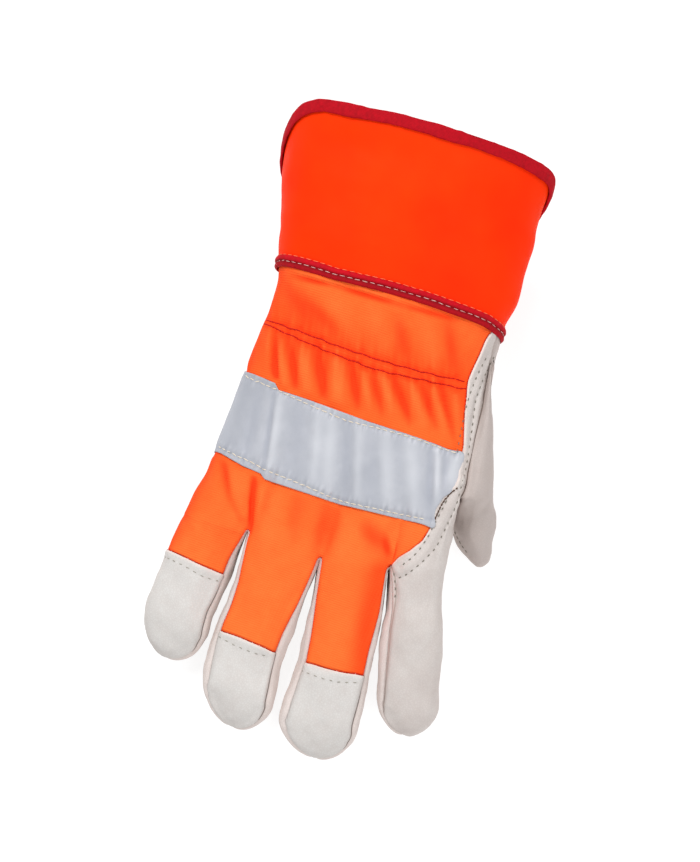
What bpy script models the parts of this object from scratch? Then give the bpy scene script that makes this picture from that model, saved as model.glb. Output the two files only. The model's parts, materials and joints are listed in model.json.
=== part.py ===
"""A rigger glove for the right hand, lying palm down with its back up.

The glove is a hollow skin of sewn panels. Five columns, one for each finger and the thumb, run from
the wrist to the fingertips. Columns that lie side by side share a rail, a line down the hand, until
they part at their crotch. The skin is made whole, so that panels which meet have the same normals
along their seam, and is then cut into panels and given its thickness.

Sizes are in millimetres up to the last step, which turns them into metres. In this layout +X is the
thumb side, +Y is the cuff and +Z is up.
"""

from math import asin, atan2, cos, degrees, hypot, radians, sin, sqrt

import bmesh
import bpy
from mathutils import Vector

MM = 0.001

# Wall thicknesses
FABRIC_WALL = 1.2
LEATHER_WALL = 1.4
CUFF_WALL = 1.6
TAPE_WALL = 1.0
BINDING_WALL = 1.2

# The gap between pieces that meet, and between a piece and what it lies on. A panel is cut back by
# half of it, and by no more than this share of its outer cells.
SEAM_GAP = 0.3
MOST_CUT_BACK = 0.3

# How far above and below a finger's widest line its seams lie, in degrees of its section
TOP_SEAM = 37.0
BOTTOM_SEAM = 30.0
TIP_SEAM_CURVE = 0.8

# Cells of the skin: across a finger's back or front, down its side, and round its tip
ACROSS = 6
DOWN_SIDE = 2
TIP_ROWS = 3
ACROSS_FABRIC = 4

# The hand's layout. Each rail is given as (x, y) at these stations, from the cuff seam (0) to the
# crotches of the fingers (1). The thumb's crotch is on the way.
THUMB_CROTCH = 0.62
STATIONS = (0.0, 0.14, 0.33, THUMB_CROTCH, 1.0)
RAILS = {
    "little_side": ((-50.6, 54.6), (-48.6, 40.0), (-49.8, 20.0), (-50.1, -14.0), (-54.2, -56.0)),
    "little_ring": ((-27.0, 57.2), (-25.6, 42.0), (-25.0, 21.0), (-25.5, -14.5), (-26.5, -54.7)),
    "ring_middle": ((-2.0, 58.0), (-1.2, 42.5), (0.0, 21.0), (2.0, -14.5), (5.4, -55.6)),
    "middle_index": ((22.0, 57.2), (23.2, 42.2), (25.0, 21.0), (28.5, -14.0), (33.5, -49.7)),
    "index_thumb": ((45.2, 54.9), (45.7, 40.4), (48.6, 20.0), (51.6, -14.0), (55.0, -42.5)),
    "thumb_side": ((47.6, 54.4), (47.4, 39.5), (54.8, 19.5), (66.0, -9.0), None),
}
RAIL_NAMES = tuple(RAILS)
LAST_FINGER_RAIL = 4
LAST_RAIL = 5

# The hand's section: its middle's height, its rise to the back and its fall to the palm, at the little
# side and the thumb side. The thumb's base is part of this section down to the thumb's crotch.
WHOLE_HAND = (
    # station, little side, thumb side
    (0.0, (26.5, 24.0, 24.0), (27.5, 24.0, 24.0)),
    (0.33, (17.5, 20.0, 21.5), (24.0, 24.0, 22.0)),
    (THUMB_CROTCH, (14.0, 17.0, 15.0), (18.0, 28.0, 14.0)),
)
# The same without the thumb, whose rail has levels of its own
FOUR_FINGERS = (
    # station, little side, index side, thumb
    (0.0, (26.5, 24.0, 24.0), (27.5, 24.0, 24.0), (27.5, 24.0, 24.0)),
    (0.33, (17.5, 19.5, 21.5), (28.0, 19.0, 19.0), (24.0, 16.0, 18.0)),
    (THUMB_CROTCH, (14.0, 15.5, 15.0), (31.0, 15.5, 15.5), (17.5, 14.0, 16.0)),
    (1.0, (13.0, 13.8, 13.8), (28.0, 13.5, 13.5), (0.0, 0.0, 0.0)),
)
THUMB_LEAVES = (0.3, THUMB_CROTCH)
PAST_INDEX = 8.0
BODY_ROUNDNESS = 2.5
FINGER_ROUNDNESS = 0.88

# Each column past its crotch: its edges as (x, y) at its half-way line and where its tip starts, with
# the levels there, then the tip's length, its levels and how far it leans to the thumb side.
COLUMNS = (
    {
        "name": "little",
        "half_way": ((-56.6, -73.0), (-26.9, -75.4), (11.5, 11.9)),
        "tip_start": ((-57.2, -97.5), (-27.9, -98.5), (10.3, 10.8)),
        "tip": (17.0, (9.0, 9.2), 0.02),
    },
    {
        "name": "ring",
        "half_way": ((-25.2, -96.6), (5.2, -98.6), (12.0, 11.6)),
        "tip_start": ((-23.6, -117.0), (6.6, -119.0), (10.6, 10.9)),
        "tip": (16.5, (9.0, 9.2), 0.16),
    },
    {
        "name": "middle",
        "half_way": ((10.2, -98.8), (40.6, -96.0), (13.0, 12.2)),
        "tip_start": ((12.2, -119.5), (44.2, -117.0), (11.0, 11.4)),
        "tip": (17.5, (9.0, 9.4), 0.05),
    },
    {
        "name": "index",
        "half_way": ((38.6, -73.5), (64.4, -70.5), (21.0, 12.2)),
        "tip_start": ((46.0, -101.0), (72.4, -97.0), (11.6, 11.0)),
        "tip": (16.0, (9.0, 9.2), 0.10),
    },
    {
        "name": "thumb",
        "half_way": ((52.0, -21.0), (70.8, -17.6), (15.8, 12.2)),
        "tip_start": ((53.8, -28.8), (72.6, -25.0), (12.2, 11.4)),
        "tip": (11.0, (9.4, 9.4), 0.42),
    },
)
THUMB = 4
INDEX = 3

# The leather border up the back: where it starts, as a share of the index column's width
LEATHER_EDGE = (
    # station, share
    (0.0, 0.89), (0.12, 0.76), (0.225, 0.65), (0.28, 0.65), (0.38, 0.78), (0.455, 0.85),
    (0.55, 0.82), (0.62, 0.765), (0.72, 0.64), (0.79, 0.535), (0.895, 0.29), (0.965, 0.075), (1.0, 0.0),
)

# Stations of the skin from the cuff seam to the finger crotches. The tape runs from one to another.
TAPE_TOP = 0.455
TAPE_BOTTOM = 0.76
BODY_ROWS = (
    0.0, 0.035, 0.11, 0.225, 0.34, TAPE_TOP, 0.54, THUMB_CROTCH, 0.69, TAPE_BOTTOM, 0.85, 0.93, 1.0,
)
TAPE_ROWS = range(BODY_ROWS.index(TAPE_TOP), BODY_ROWS.index(TAPE_BOTTOM))
FINGER_ROWS = (0.0, 0.12, 0.4, 0.7, 1.0, 1.5, 2.0)
THUMB_ROWS = (0.0, 0.35, 1.0, 2.0)

# Each column takes on a finger's own section from one of these stations to the other
FINGER_BLEND = (0.55, 1.0)
THUMB_BACK_BLEND = (0.48, THUMB_CROTCH)
THUMB_FRONT_BLEND = (0.1, 0.5)
THUMB_SIDE_BLEND = (0.02, 0.3)
# Fingers press flat on each other at the crotch, and are round again this far down. The index finger's
# side is round again this far past the thumb's crotch.
FLAT_SIDE_END = 0.8
INDEX_SIDE_END = 0.2
# Two fingers part by this much each. It opens over one distance down and closes again after another.
CROTCH_OPENING = 0.6
OPENING_GROWS = 0.12
OPENING_FADES = 0.2
# A finger sets out from its crotch the way its rails run over this last part of the hand
RAIL_END = 0.05

# The cuff. Its edge is slanted: the palm side is the shorter one.
CUFF_STEPS = 40
CUFF_ROWS = 5
SEAM_LINE = (58.2, 3.6, -2.6, 50.0)
RIM_LEFT, RIM_RIGHT = -64.6, 47.0
RIM_LINE = (
    # angle round the cuff, y
    (0.0, 117.0), (15.0, 122.6), (40.0, 124.2), (90.0, 122.4), (120.0, 119.4), (145.0, 118.4),
    (160.0, 115.0), (180.0, 105.0), (205.0, 93.0), (270.0, 88.0), (320.0, 96.0), (360.0, 117.0),
)
RIM_MIDDLE, RIM_HALF = 31.5, 31.0
RIM_ROUNDNESS = 0.8
RIM_PINCH = 0.45
CUFF_LIFT = SEAM_GAP + BINDING_WALL
RIM_BINDING_REACH = 3.0
RIM_FOLD_ROUNDING = 0.55
SEAM_BINDING_HALF = 3.4

# Points nearer than this are one point, and edges that turn by more than this many degrees look sharp
WELD = 0.01
SHARP_ANGLE = 50.0

COLOURS = {
    # name: colour, roughness
    "fabric": ((0.95, 0.17, 0.02, 1.0), 0.75),
    "cuff_fabric": ((0.93, 0.10, 0.01, 1.0), 0.45),
    "leather": ((0.62, 0.57, 0.53, 1.0), 0.70),
    "binding": ((0.38, 0.02, 0.03, 1.0), 0.80),
    "reflective": ((0.55, 0.58, 0.63, 1.0), 0.35),
}

PANELS = (
    # name, colour, outer face and inner face measured out from the skin
    ("back_panel", "fabric", 0.0, -FABRIC_WALL),
    ("index_back", "leather", 0.0, -LEATHER_WALL),
    ("little_fingertip", "leather", 0.0, -LEATHER_WALL),
    ("ring_fingertip", "leather", 0.0, -LEATHER_WALL),
    ("middle_fingertip", "leather", 0.0, -LEATHER_WALL),
    ("palm", "leather", 0.0, -LEATHER_WALL),
    ("fourchette_little_ring", "leather", 0.0, -LEATHER_WALL),
    ("fourchette_ring_middle", "leather", 0.0, -LEATHER_WALL),
    ("fourchette_middle_index", "leather", 0.0, -LEATHER_WALL),
    ("thumb", "leather", 0.0, -LEATHER_WALL),
)
PANEL_NUMBERS = {row[0]: number for number, row in enumerate(PANELS)}
FOURCHETTES = ("fourchette_little_ring", "fourchette_ring_middle", "fourchette_middle_index")


def mix(a, b, share):
    return a + (b - a) * share


def smoothstep(value):
    value = min(1.0, max(0.0, value))
    return value * value * (3.0 - 2.0 * value)


def signed_power(value, power):
    return (1.0 if value >= 0.0 else -1.0) * abs(value) ** power


def spline(knots, values, at, first_slope=None):
    """A smooth curve through the values: cubic pieces with the slopes of the chords beside each knot."""
    chords = [(values[i + 1] - values[i]) / (knots[i + 1] - knots[i]) for i in range(len(knots) - 1)]
    slopes = [chords[0]] + [(chords[i] + chords[i + 1]) / 2 for i in range(len(chords) - 1)] + [chords[-1]]
    if first_slope is not None:
        slopes[0] = first_slope
    at = min(max(at, knots[0]), knots[-1])
    i = max(k for k in range(len(knots) - 1) if at >= knots[k])
    width = knots[i + 1] - knots[i]
    t = (at - knots[i]) / width
    start = (2 * t**3 - 3 * t**2 + 1) * values[i] + (t**3 - 2 * t**2 + t) * width * slopes[i]
    end = (-2 * t**3 + 3 * t**2) * values[i + 1] + (t**3 - t**2) * width * slopes[i + 1]
    return start + end


def rail_point(rail, station):
    points = [point for point in RAILS[RAIL_NAMES[rail]] if point]
    knots = STATIONS[: len(points)]
    return tuple(spline(knots, [point[axis] for point in points], station) for axis in (0, 1))


def levels(rows, station, side):
    """(middle, rise, fall) at one side of the hand, from a table of them by station."""
    knots = [row[0] for row in rows]
    return tuple(spline(knots, [row[1 + side][k] for row in rows], station) for k in range(3))


def section_height(rows, station, left, right, x, top):
    """The height at x of a flattened tube between two sides of the hand."""
    share = min(1.0, max(0.0, (x - left) / (right - left)))
    sides = levels(rows, station, 0), levels(rows, station, 1)
    middle, rise, fall = (mix(a, b, share) for a, b in zip(*sides))
    round_off = (1.0 - abs(2.0 * share - 1.0) ** BODY_ROUNDNESS) ** (1.0 / BODY_ROUNDNESS)
    return middle + (rise if top else -fall) * round_off


def body_height(station, x, top):
    """The height of the hand's section, with the thumb's base at the wrist and without it further down."""
    left = rail_point(0, station)[0]
    past_index = rail_point(LAST_FINGER_RAIL, station)[0] + PAST_INDEX
    height = section_height(FOUR_FINGERS, station, left, past_index, x, top)
    first, last = THUMB_LEAVES
    if station < last:
        whole = section_height(WHOLE_HAND, station, left, rail_point(LAST_RAIL, station)[0], x, top)
        height = mix(whole, height, smoothstep((station - first) / (last - first)))
    return height


def rail_level(rail, station):
    if rail == LAST_RAIL:
        return levels(FOUR_FINGERS[:3], station, 2)
    left, right = rail_point(0, station)[0], rail_point(LAST_FINGER_RAIL, station)[0]
    share = (rail_point(rail, station)[0] - left) / (right - left)
    little, index = (levels(FOUR_FINGERS, station, side) for side in (0, 1))
    return tuple(mix(a, b, share) for a, b in zip(little, index))


def root_of(column):
    return THUMB_CROTCH if column == THUMB else 1.0


def edge(column, side, station, down):
    """(x, y, middle, rise, fall) of a column's left (0) or right (1) edge.

    The station counts up to the column's crotch, and down counts from there: 1 is its half-way line
    and 2 is where its tip starts.
    """
    rail = column + side
    if down <= 0.0:
        return rail_point(rail, station) + rail_level(rail, station)
    root = root_of(column)
    row = COLUMNS[column]
    first = rail_point(rail, root)
    before = rail_point(rail, root - RAIL_END)
    points = (first, row["half_way"][side], row["tip_start"][side])
    reach = hypot(points[1][0] - first[0], points[1][1] - first[1])
    step = hypot(first[0] - before[0], first[1] - before[1])
    slopes = [(first[axis] - before[axis]) / step * reach for axis in (0, 1)]
    place = [spline((0, 1, 2), [point[axis] for point in points], down, slopes[axis]) for axis in (0, 1)]
    heights = [rail_level(rail, root)] + [(m, h, h) for m, h in (row["half_way"][2], row["tip_start"][2])]
    level = [spline((0, 1, 2), [height[k] for height in heights], down) for k in range(3)]
    if crotch_at(rail) == root and 0 < rail < LAST_RAIL:
        opening = CROTCH_OPENING * sqrt(min(1.0, down / OPENING_GROWS))
        opening *= 1.0 - smoothstep(down - OPENING_FADES)
        place[0] += opening if side == 0 else -opening
    return tuple(place) + tuple(level)


def crotch_at(rail):
    """The station where the columns beside this rail part."""
    return THUMB_CROTCH if rail >= LAST_FINGER_RAIL else 1.0


def finger_share(rail, station, down, top):
    """How far a column has a finger's own section at this rail, from 0 to 1."""
    if down > 0.0:
        return 1.0
    first, last = FINGER_BLEND
    if rail == LAST_FINGER_RAIL:
        first, last = THUMB_BACK_BLEND if top else THUMB_FRONT_BLEND
    elif rail > LAST_FINGER_RAIL:
        first, last = THUMB_SIDE_BLEND
    return smoothstep((station - first) / (last - first))


def side_flatness(column, side, station, down):
    """1 while the side is shared or pressed flat on its neighbour, then down to 0, where it is round."""
    rail = column + side
    if rail in (0, LAST_RAIL):
        return 0.0
    if column == INDEX and side == 1:
        past = (station - THUMB_CROTCH) / INDEX_SIDE_END if down <= 0.0 else 1.0
        return 1.0 - smoothstep(past)
    return 1.0 - smoothstep(down / FLAT_SIDE_END)


def skin_point(column, station, down, angle):
    """A point of the skin, at an angle round the column's section: 0 is its thumb side, 90 its back."""
    turn = radians(angle)
    side = 1 if cos(turn) >= 0.0 else 0
    seam = TOP_SEAM if sin(turn) >= 0.0 else BOTTOM_SEAM
    flatness = side_flatness(column, side, station, down)
    across = cos(turn) * mix(1.0, 1.0 / cos(radians(seam)), flatness)
    share = (1.0 + min(1.0, max(-1.0, across))) / 2.0
    left, right = (edge(column, k, station, down) for k in (0, 1))
    x, y, middle, rise, fall = (mix(left[k], right[k], share) for k in range(5))
    top = sin(turn) >= 0.0
    z = middle + (rise if top else fall) * signed_power(sin(turn), FINGER_ROUNDNESS)
    shares = [finger_share(rail, station, down, top) for rail in (column, column + 1)]
    finger = mix(*shares, share)
    if finger < 1.0:
        z = mix(body_height(station, x, top), z, finger)
    return Vector((x, y, max(z, 0.0)))


def tip_point(column, around, elevation):
    """A point of the rounded tip. Around is 0 at its thumb side, 90 at its end and 180 at its left."""
    left, right = (edge(column, k, 1.0, 2.0) for k in (0, 1))
    length, (end_middle, end_half), lean = COLUMNS[column]["tip"]
    middle = Vector(((left[0] + right[0]) / 2, (left[1] + right[1]) / 2))
    half = Vector(((right[0] - left[0]) / 2, (right[1] - left[1]) / 2))
    forward = Vector((half.y, -half.x)).normalized() + half.normalized() * lean
    spread = cos(radians(elevation))
    out = spread * sin(radians(around))
    place = middle + half * spread * cos(radians(around)) + forward * length * out
    level = mix(left[2], end_middle, out)
    height = mix(left[3], end_half, out) * signed_power(sin(radians(elevation)), FINGER_ROUNDNESS)
    return Vector((place.x, place.y, max(level + height, 0.0)))


def side_limits(column, side):
    """The angles where a column's back and front end on one side, above and below its widest line."""
    if (column, side) in ((0, 0), (THUMB, 1)):
        return -BOTTOM_SEAM, -BOTTOM_SEAM
    return TOP_SEAM, -BOTTOM_SEAM


def tip_limit(column, around, top):
    """The elevation of the seam round a tip. The strips down the sides taper to nothing at its end."""
    side = 1 if around < 90.0 else 0
    limit = side_limits(column, side)[0 if top else 1]
    share = abs(90.0 - around) / 90.0
    return limit * share**TIP_SEAM_CURVE


def section_angle(column, across, top):
    """The angle at a place across a column's back or front, from -1 at its left seam to 1 at its right."""
    side = 1 if across >= 0.0 else 0
    limit = side_limits(column, side)[0 if top else 1]
    return 90.0 - across * (90.0 - limit) if top else -90.0 + across * (90.0 + limit)


def leather_start(station):
    """Where the leather starts across the index column's back, from -1 to 1."""
    knots = [row[0] for row in LEATHER_EDGE]
    share = spline(knots, [row[1] for row in LEATHER_EDGE], station)
    across = (2.0 * min(max(share, 0.0), 1.0) - 1.0) * cos(radians(TOP_SEAM))
    return degrees(asin(across)) / (90.0 - TOP_SEAM)


def disc_angles(a, b):
    """(around, radius) of a place on the half disc that a finger's rows fold into at its tip."""
    x, y = a * sqrt(1.0 - b * b / 2.0), b * sqrt(1.0 - a * a / 2.0)
    return degrees(atan2(y, x)), hypot(x, y)


def add_patch(skin, points, panel, tape_rows=()):
    """Add a sheet of cells to the skin, from rows of points, and note which panel it belongs to.

    Its cells in the tape rows are noted as well: the reflective tape lies over those of the back.
    """
    numbers, taped = (skin.faces.layers.int[name] for name in ("panel", "tape"))
    rows = [[skin.verts.new(point) for point in row] for row in points]
    for number, (upper, lower) in enumerate(zip(rows, rows[1:])):
        for k in range(len(upper) - 1):
            face = skin.faces.new((upper[k], upper[k + 1], lower[k + 1], lower[k]))
            face[numbers] = PANEL_NUMBERS[panel]
            face[taped] = number in tape_rows


def steps(first, last, count):
    return [mix(first, last, k / count) for k in range(count + 1)]


def body_stations(column):
    return [station for station in BODY_ROWS if station <= root_of(column)]


def down_rows(column):
    return THUMB_ROWS if column == THUMB else FINGER_ROWS


def back_row(column, station, down, across_steps):
    return [skin_point(column, station, down, section_angle(column, a, True)) for a in across_steps]


def back_faces(skin, column):
    """The back of a column: its stretch on the hand, its finger and its tip."""
    stations = body_stations(column)
    whole = steps(-1.0, 1.0, ACROSS)
    hand_panel = {INDEX: "index_back", THUMB: "thumb"}.get(column, "back_panel")
    if column == INDEX:
        starts = [(s, leather_start(s)) for s in stations]
        fabric = [back_row(column, s, 0.0, steps(-1.0, start, ACROSS_FABRIC)) for s, start in starts]
        leather = [back_row(column, s, 0.0, steps(start, 1.0, ACROSS)) for s, start in starts]
        add_patch(skin, fabric, "back_panel", TAPE_ROWS)
        add_patch(skin, leather, "index_back")
    else:
        add_patch(skin, [back_row(column, s, 0.0, whole) for s in stations], hand_panel, TAPE_ROWS)
    finger_rows = {down: back_row(column, root_of(column), down, whole) for down in down_rows(column)}
    cap_panel = COLUMNS[column]["name"] + "_fingertip" if column < INDEX else hand_panel
    add_patch(skin, [finger_rows[down] for down in finger_rows if down <= 1.0], hand_panel)
    add_patch(skin, [finger_rows[down] for down in finger_rows if down >= 1.0], cap_panel)
    add_patch(skin, tip_rows(column, True), cap_panel)


def tip_rows(column, top):
    """The rows of a tip's back or front, from its base to its end."""
    rows = []
    for b in steps(0.0, 1.0, TIP_ROWS):
        row = []
        for a in steps(-1.0, 1.0, ACROSS):
            around, radius = disc_angles(a, b)
            limit = tip_limit(column, around, top)
            elevation = 90.0 - radius * (90.0 - limit) if top else -90.0 + radius * (90.0 + limit)
            row.append(tip_point(column, around, elevation))
        rows.append(row)
    return rows


def front_faces(skin, column):
    """The palm side of a column."""
    panel = "thumb" if column == THUMB else "palm"
    places = [(station, 0.0) for station in body_stations(column)]
    places += [(root_of(column), down) for down in down_rows(column)[1:]]
    rows = [
        [skin_point(column, s, down, section_angle(column, a, False)) for a in steps(-1.0, 1.0, ACROSS)]
        for s, down in places
    ]
    add_patch(skin, rows, panel)
    add_patch(skin, tip_rows(column, False), panel)


def side_faces(skin, column, side, panel):
    """The strip down a column's side, from the crotch to the end of its tip."""
    places = [(root_of(column), down) for down in down_rows(column)]
    if column == INDEX and side == 1:
        places = [(station, 0.0) for station in BODY_ROWS if station >= THUMB_CROTCH] + places[1:]
    top, bottom = side_limits(column, side)
    rows = []
    for station, down in places:
        angles = [angle if side else 180.0 - angle for angle in steps(top, bottom, DOWN_SIDE)]
        rows.append([skin_point(column, station, down, angle) for angle in angles])
    sign = 1.0 if side else -1.0
    corner = [disc_angles(sign, b)[0] for b in steps(0.0, 1.0, TIP_ROWS)[1:]]
    end = [disc_angles(sign * a, 1.0)[0] for a in steps(1.0, 0.0, ACROSS // 2)[1:]]
    for around in corner + end:
        limits = (tip_limit(column, around, True), tip_limit(column, around, False))
        rows.append([tip_point(column, around, elevation) for elevation in steps(*limits, DOWN_SIDE)])
    add_patch(skin, rows, panel)


def hand_skin():
    """The whole skin of the hand, with its cells marked by panel and its normals pointing out."""
    skin = bmesh.new()
    for layer in ("panel", "tape"):
        skin.faces.layers.int.new(layer)
    for column in range(len(COLUMNS)):
        back_faces(skin, column)
        front_faces(skin, column)
    for column, panel in enumerate(FOURCHETTES):
        side_faces(skin, column, 1, panel)
        side_faces(skin, column + 1, 0, panel)
    side_faces(skin, INDEX, 1, "index_back")
    side_faces(skin, THUMB, 0, "thumb")
    bmesh.ops.remove_doubles(skin, verts=skin.verts, dist=WELD)
    bmesh.ops.dissolve_degenerate(skin, edges=skin.edges, dist=WELD)
    bmesh.ops.recalc_face_normals(skin, faces=skin.faces)
    skin.normal_update()
    return skin


def seam_y(x):
    """The line of the cuff seam, a shallow arch."""
    top, drop, centre, half_width = SEAM_LINE
    return top - drop * ((x - centre) / half_width) ** 2


def wrist_point(station, angle):
    """A point of the hand's ring near the cuff seam, at an angle round the wrist."""
    share = (1.0 + cos(radians(angle))) / 2.0
    x = mix(rail_point(0, station)[0], rail_point(LAST_RAIL, station)[0], share)
    y = seam_y(x) + rail_point(2, station)[1] - rail_point(2, 0.0)[1]
    return Vector((x, y, body_height(station, x, sin(radians(angle)) >= 0.0)))


def rim_point(angle):
    """A point of the cuff's edge. The section is round at the little side and pinched at the thumb side."""
    turn = radians(angle)
    x = mix(RIM_LEFT, RIM_RIGHT, (1.0 + cos(turn)) / 2.0)
    y = spline([row[0] for row in RIM_LINE], [row[1] for row in RIM_LINE], angle)
    pinch = 1.0 - RIM_PINCH * max(0.0, cos(turn)) ** 2
    z = RIM_MIDDLE + RIM_HALF * pinch * signed_power(sin(turn), RIM_ROUNDNESS)
    return Vector((x, y, z))


def cuff_point(angle, share):
    """A point of the cuff's outer face, from the seam (0) to the edge (1)."""
    point = wrist_point(0.0, angle).lerp(rim_point(angle), share)
    point.z = max(point.z, CUFF_LIFT)
    return point


def ring_angles():
    return [360.0 * k / CUFF_STEPS for k in range(CUFF_STEPS)]


def ring_skin(rows):
    """A sheet closed round the cuff, from rows of points that each go once round."""
    skin = bmesh.new()
    rings = [[skin.verts.new(point) for point in row] for row in rows]
    for upper, lower in zip(rings, rings[1:]):
        for k in range(len(upper)):
            after = (k + 1) % len(upper)
            skin.faces.new((upper[k], upper[after], lower[after], lower[k]))
    bmesh.ops.recalc_face_normals(skin, faces=skin.faces)
    skin.normal_update()
    return skin


def drawn_in(vert, faces, edges):
    """Where a panel's edge point lies once the panel is cut back by half the seam's gap."""
    rim = [e for e in edges if e in vert.link_edges]
    inward = sum((face.calc_center_median() for face in faces if vert in face.verts), Vector())
    inward = inward / sum(vert in face.verts for face in faces) - vert.co
    if len(rim) == 2:
        ends = [e.other_vert(vert).co for e in rim]
        along = (ends[0] - ends[1]).normalized()
        inward -= along * inward.dot(along)
    length = inward.length
    return vert.co + inward * min(SEAM_GAP / 2.0 / length, MOST_CUT_BACK) if length > WELD else vert.co.copy()


def thick_panel(faces, outer, inner):
    """A closed solid of these cells of a skin, between two distances from it along its normals."""
    faces = set(faces)
    count = {}
    for face in faces:
        for e in face.edges:
            count[e] = count.get(e, 0) + 1
    rim_edges = {e for e, uses in count.items() if uses == 1}
    rim_verts = {v for e in rim_edges for v in e.verts}
    solid = bmesh.new()
    layers = {}
    for v in {v for face in faces for v in face.verts}:
        place = v.co
        if v in rim_verts:
            place = drawn_in(v, [f for f in v.link_faces if f in faces], rim_edges)
        layers[v] = [solid.verts.new(place + v.normal * distance) for distance in (outer, inner)]
    for face in faces:
        solid.faces.new([layers[v][0] for v in face.verts])
        solid.faces.new([layers[v][1] for v in reversed(face.verts)])
        for loop in face.loops:
            if loop.edge in rim_edges:
                a, b = loop.vert, loop.link_loop_next.vert
                solid.faces.new((layers[b][0], layers[a][0], layers[a][1], layers[b][1]))
    for v in solid.verts:
        v.co.z = max(v.co.z, 0.0)
    return solid


def material(name):
    colour, roughness = COLOURS[name]
    made = bpy.data.materials.get(name) or bpy.data.materials.new(name)
    made.use_nodes = True
    shader = made.node_tree.nodes["Principled BSDF"]
    shader.inputs["Base Color"].default_value = colour
    shader.inputs["Roughness"].default_value = roughness
    return made


def add_object(name, solid, colour, parent):
    """Turn a solid in millimetres into a named object in metres."""
    bmesh.ops.triangulate(solid, faces=solid.faces)
    bmesh.ops.scale(solid, vec=(MM, MM, MM), verts=solid.verts)
    mesh = bpy.data.meshes.new(name)
    solid.to_mesh(mesh)
    solid.free()
    mesh.shade_smooth()
    mesh.set_sharp_from_angle(angle=radians(SHARP_ANGLE))
    mesh.materials.append(material(colour))
    made = bpy.data.objects.new(name, mesh)
    bpy.context.collection.objects.link(made)
    made.parent = parent
    return made


def hand_panels(parent):
    skin = hand_skin()
    numbers, taped = (skin.faces.layers.int[name] for name in ("panel", "tape"))
    for name, colour, outer, inner in PANELS:
        faces = [face for face in skin.faces if face[numbers] == PANEL_NUMBERS[name]]
        add_object(name, thick_panel(faces, outer, inner), colour, parent)
    tape = [face for face in skin.faces if face[taped] and face[numbers] == PANEL_NUMBERS["back_panel"]]
    solid = thick_panel(tape, SEAM_GAP + TAPE_WALL, SEAM_GAP)
    add_object("reflective_tape", solid, "reflective", parent)
    skin.free()


def cuff(parent):
    rows = [[cuff_point(angle, share) for angle in ring_angles()] for share in steps(0.0, 1.0, CUFF_ROWS)]
    skin = ring_skin(rows)
    add_object("cuff", thick_panel(skin.faces, 0.0, -CUFF_WALL), "cuff_fabric", parent)
    skin.free()


def seam_binding(parent):
    """The tape round the wrist, over the seam."""
    hand_length = rail_point(2, 0.0)[1] - rail_point(2, STATIONS[1])[1]
    on_hand = STATIONS[1] * SEAM_BINDING_HALF / hand_length
    on_cuff = SEAM_BINDING_HALF / (rim_point(90.0).y - SEAM_LINE[0])
    rows = [
        [wrist_point(on_hand, angle) for angle in ring_angles()],
        [wrist_point(0.0, angle) for angle in ring_angles()],
        [cuff_point(angle, on_cuff) for angle in ring_angles()],
    ]
    skin = ring_skin(rows)
    solid = thick_panel(skin.faces, SEAM_GAP + BINDING_WALL, SEAM_GAP)
    add_object("cuff_seam_binding", solid, "binding", parent)
    skin.free()


def rim_binding(parent):
    """The tape folded over the cuff's edge: an outer leaf, an inner leaf and the fold between them."""
    near, far = SEAM_GAP, SEAM_GAP + BINDING_WALL
    profile = (
        # along the cuff past its edge, out from its outer face
        (-RIM_BINDING_REACH, near),
        (-RIM_BINDING_REACH, far),
        (far - RIM_FOLD_ROUNDING, far),
        (far, far - RIM_FOLD_ROUNDING),
        (far, -CUFF_WALL - far + RIM_FOLD_ROUNDING),
        (far - RIM_FOLD_ROUNDING, -CUFF_WALL - far),
        (-RIM_BINDING_REACH, -CUFF_WALL - far),
        (-RIM_BINDING_REACH, -CUFF_WALL - near),
        (near, -CUFF_WALL - near),
        (near, near),
    )
    last_steps = steps(0.0, 1.0, CUFF_ROWS)[-2:]
    skin = ring_skin([[cuff_point(angle, share) for angle in ring_angles()] for share in last_steps])
    skin.verts.ensure_lookup_table()
    solid = bmesh.new()
    loops = []
    for k, angle in enumerate(ring_angles()):
        before, edge_vert = skin.verts[k], skin.verts[k + CUFF_STEPS]
        normal = edge_vert.normal
        along = (edge_vert.co - before.co).normalized()
        loops.append([solid.verts.new(edge_vert.co + along * a + normal * n) for a, n in profile])
    for k, loop in enumerate(loops):
        following = loops[(k + 1) % len(loops)]
        for j in range(len(profile)):
            after = (j + 1) % len(profile)
            solid.faces.new((loop[j], loop[after], following[after], following[j]))
    bmesh.ops.recalc_face_normals(solid, faces=solid.faces)
    for v in solid.verts:
        v.co.z = max(v.co.z, 0.0)
    add_object("cuff_rim_binding", solid, "binding", parent)
    skin.free()


def centre_on_floor(parent):
    """Move the glove so that the middle of its underside's box is the origin."""
    bpy.context.view_layer.update()
    corners = [
        made.matrix_world @ vert.co
        for made in parent.children
        for vert in made.data.vertices
    ]
    lowest = [min(corner[k] for corner in corners) for k in range(3)]
    highest = [max(corner[k] for corner in corners) for k in range(3)]
    parent.location = (-(lowest[0] + highest[0]) / 2, -(lowest[1] + highest[1]) / 2, -lowest[2])


def main():
    for old in list(bpy.data.objects):
        bpy.data.objects.remove(old)
    glove = bpy.data.objects.new("glove", None)
    bpy.context.collection.objects.link(glove)
    hand_panels(glove)
    cuff(glove)
    seam_binding(glove)
    rim_binding(glove)
    centre_on_floor(glove)


main()
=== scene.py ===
# %% [markdown]
# # A rigger glove
#
# A rigger glove is a work glove with a leather palm, leather fingertips, a bright cloth back and a wide
# stiff cuff. This one is the right hand's, and it lies palm down on a table. Its measured shape comes
# ready from CAD as fourteen plain shells. Here each shell becomes cloth or leather: it is rounded,
# folded, given a thickness, sewn and coloured.
#
# The CAD shells are the frame of the work. They are never moved or changed, so every piece starts as a
# copy of one of them and stays where that one is.

# %% Load the measured glove
import json
from math import cos, pi, radians, sin

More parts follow.
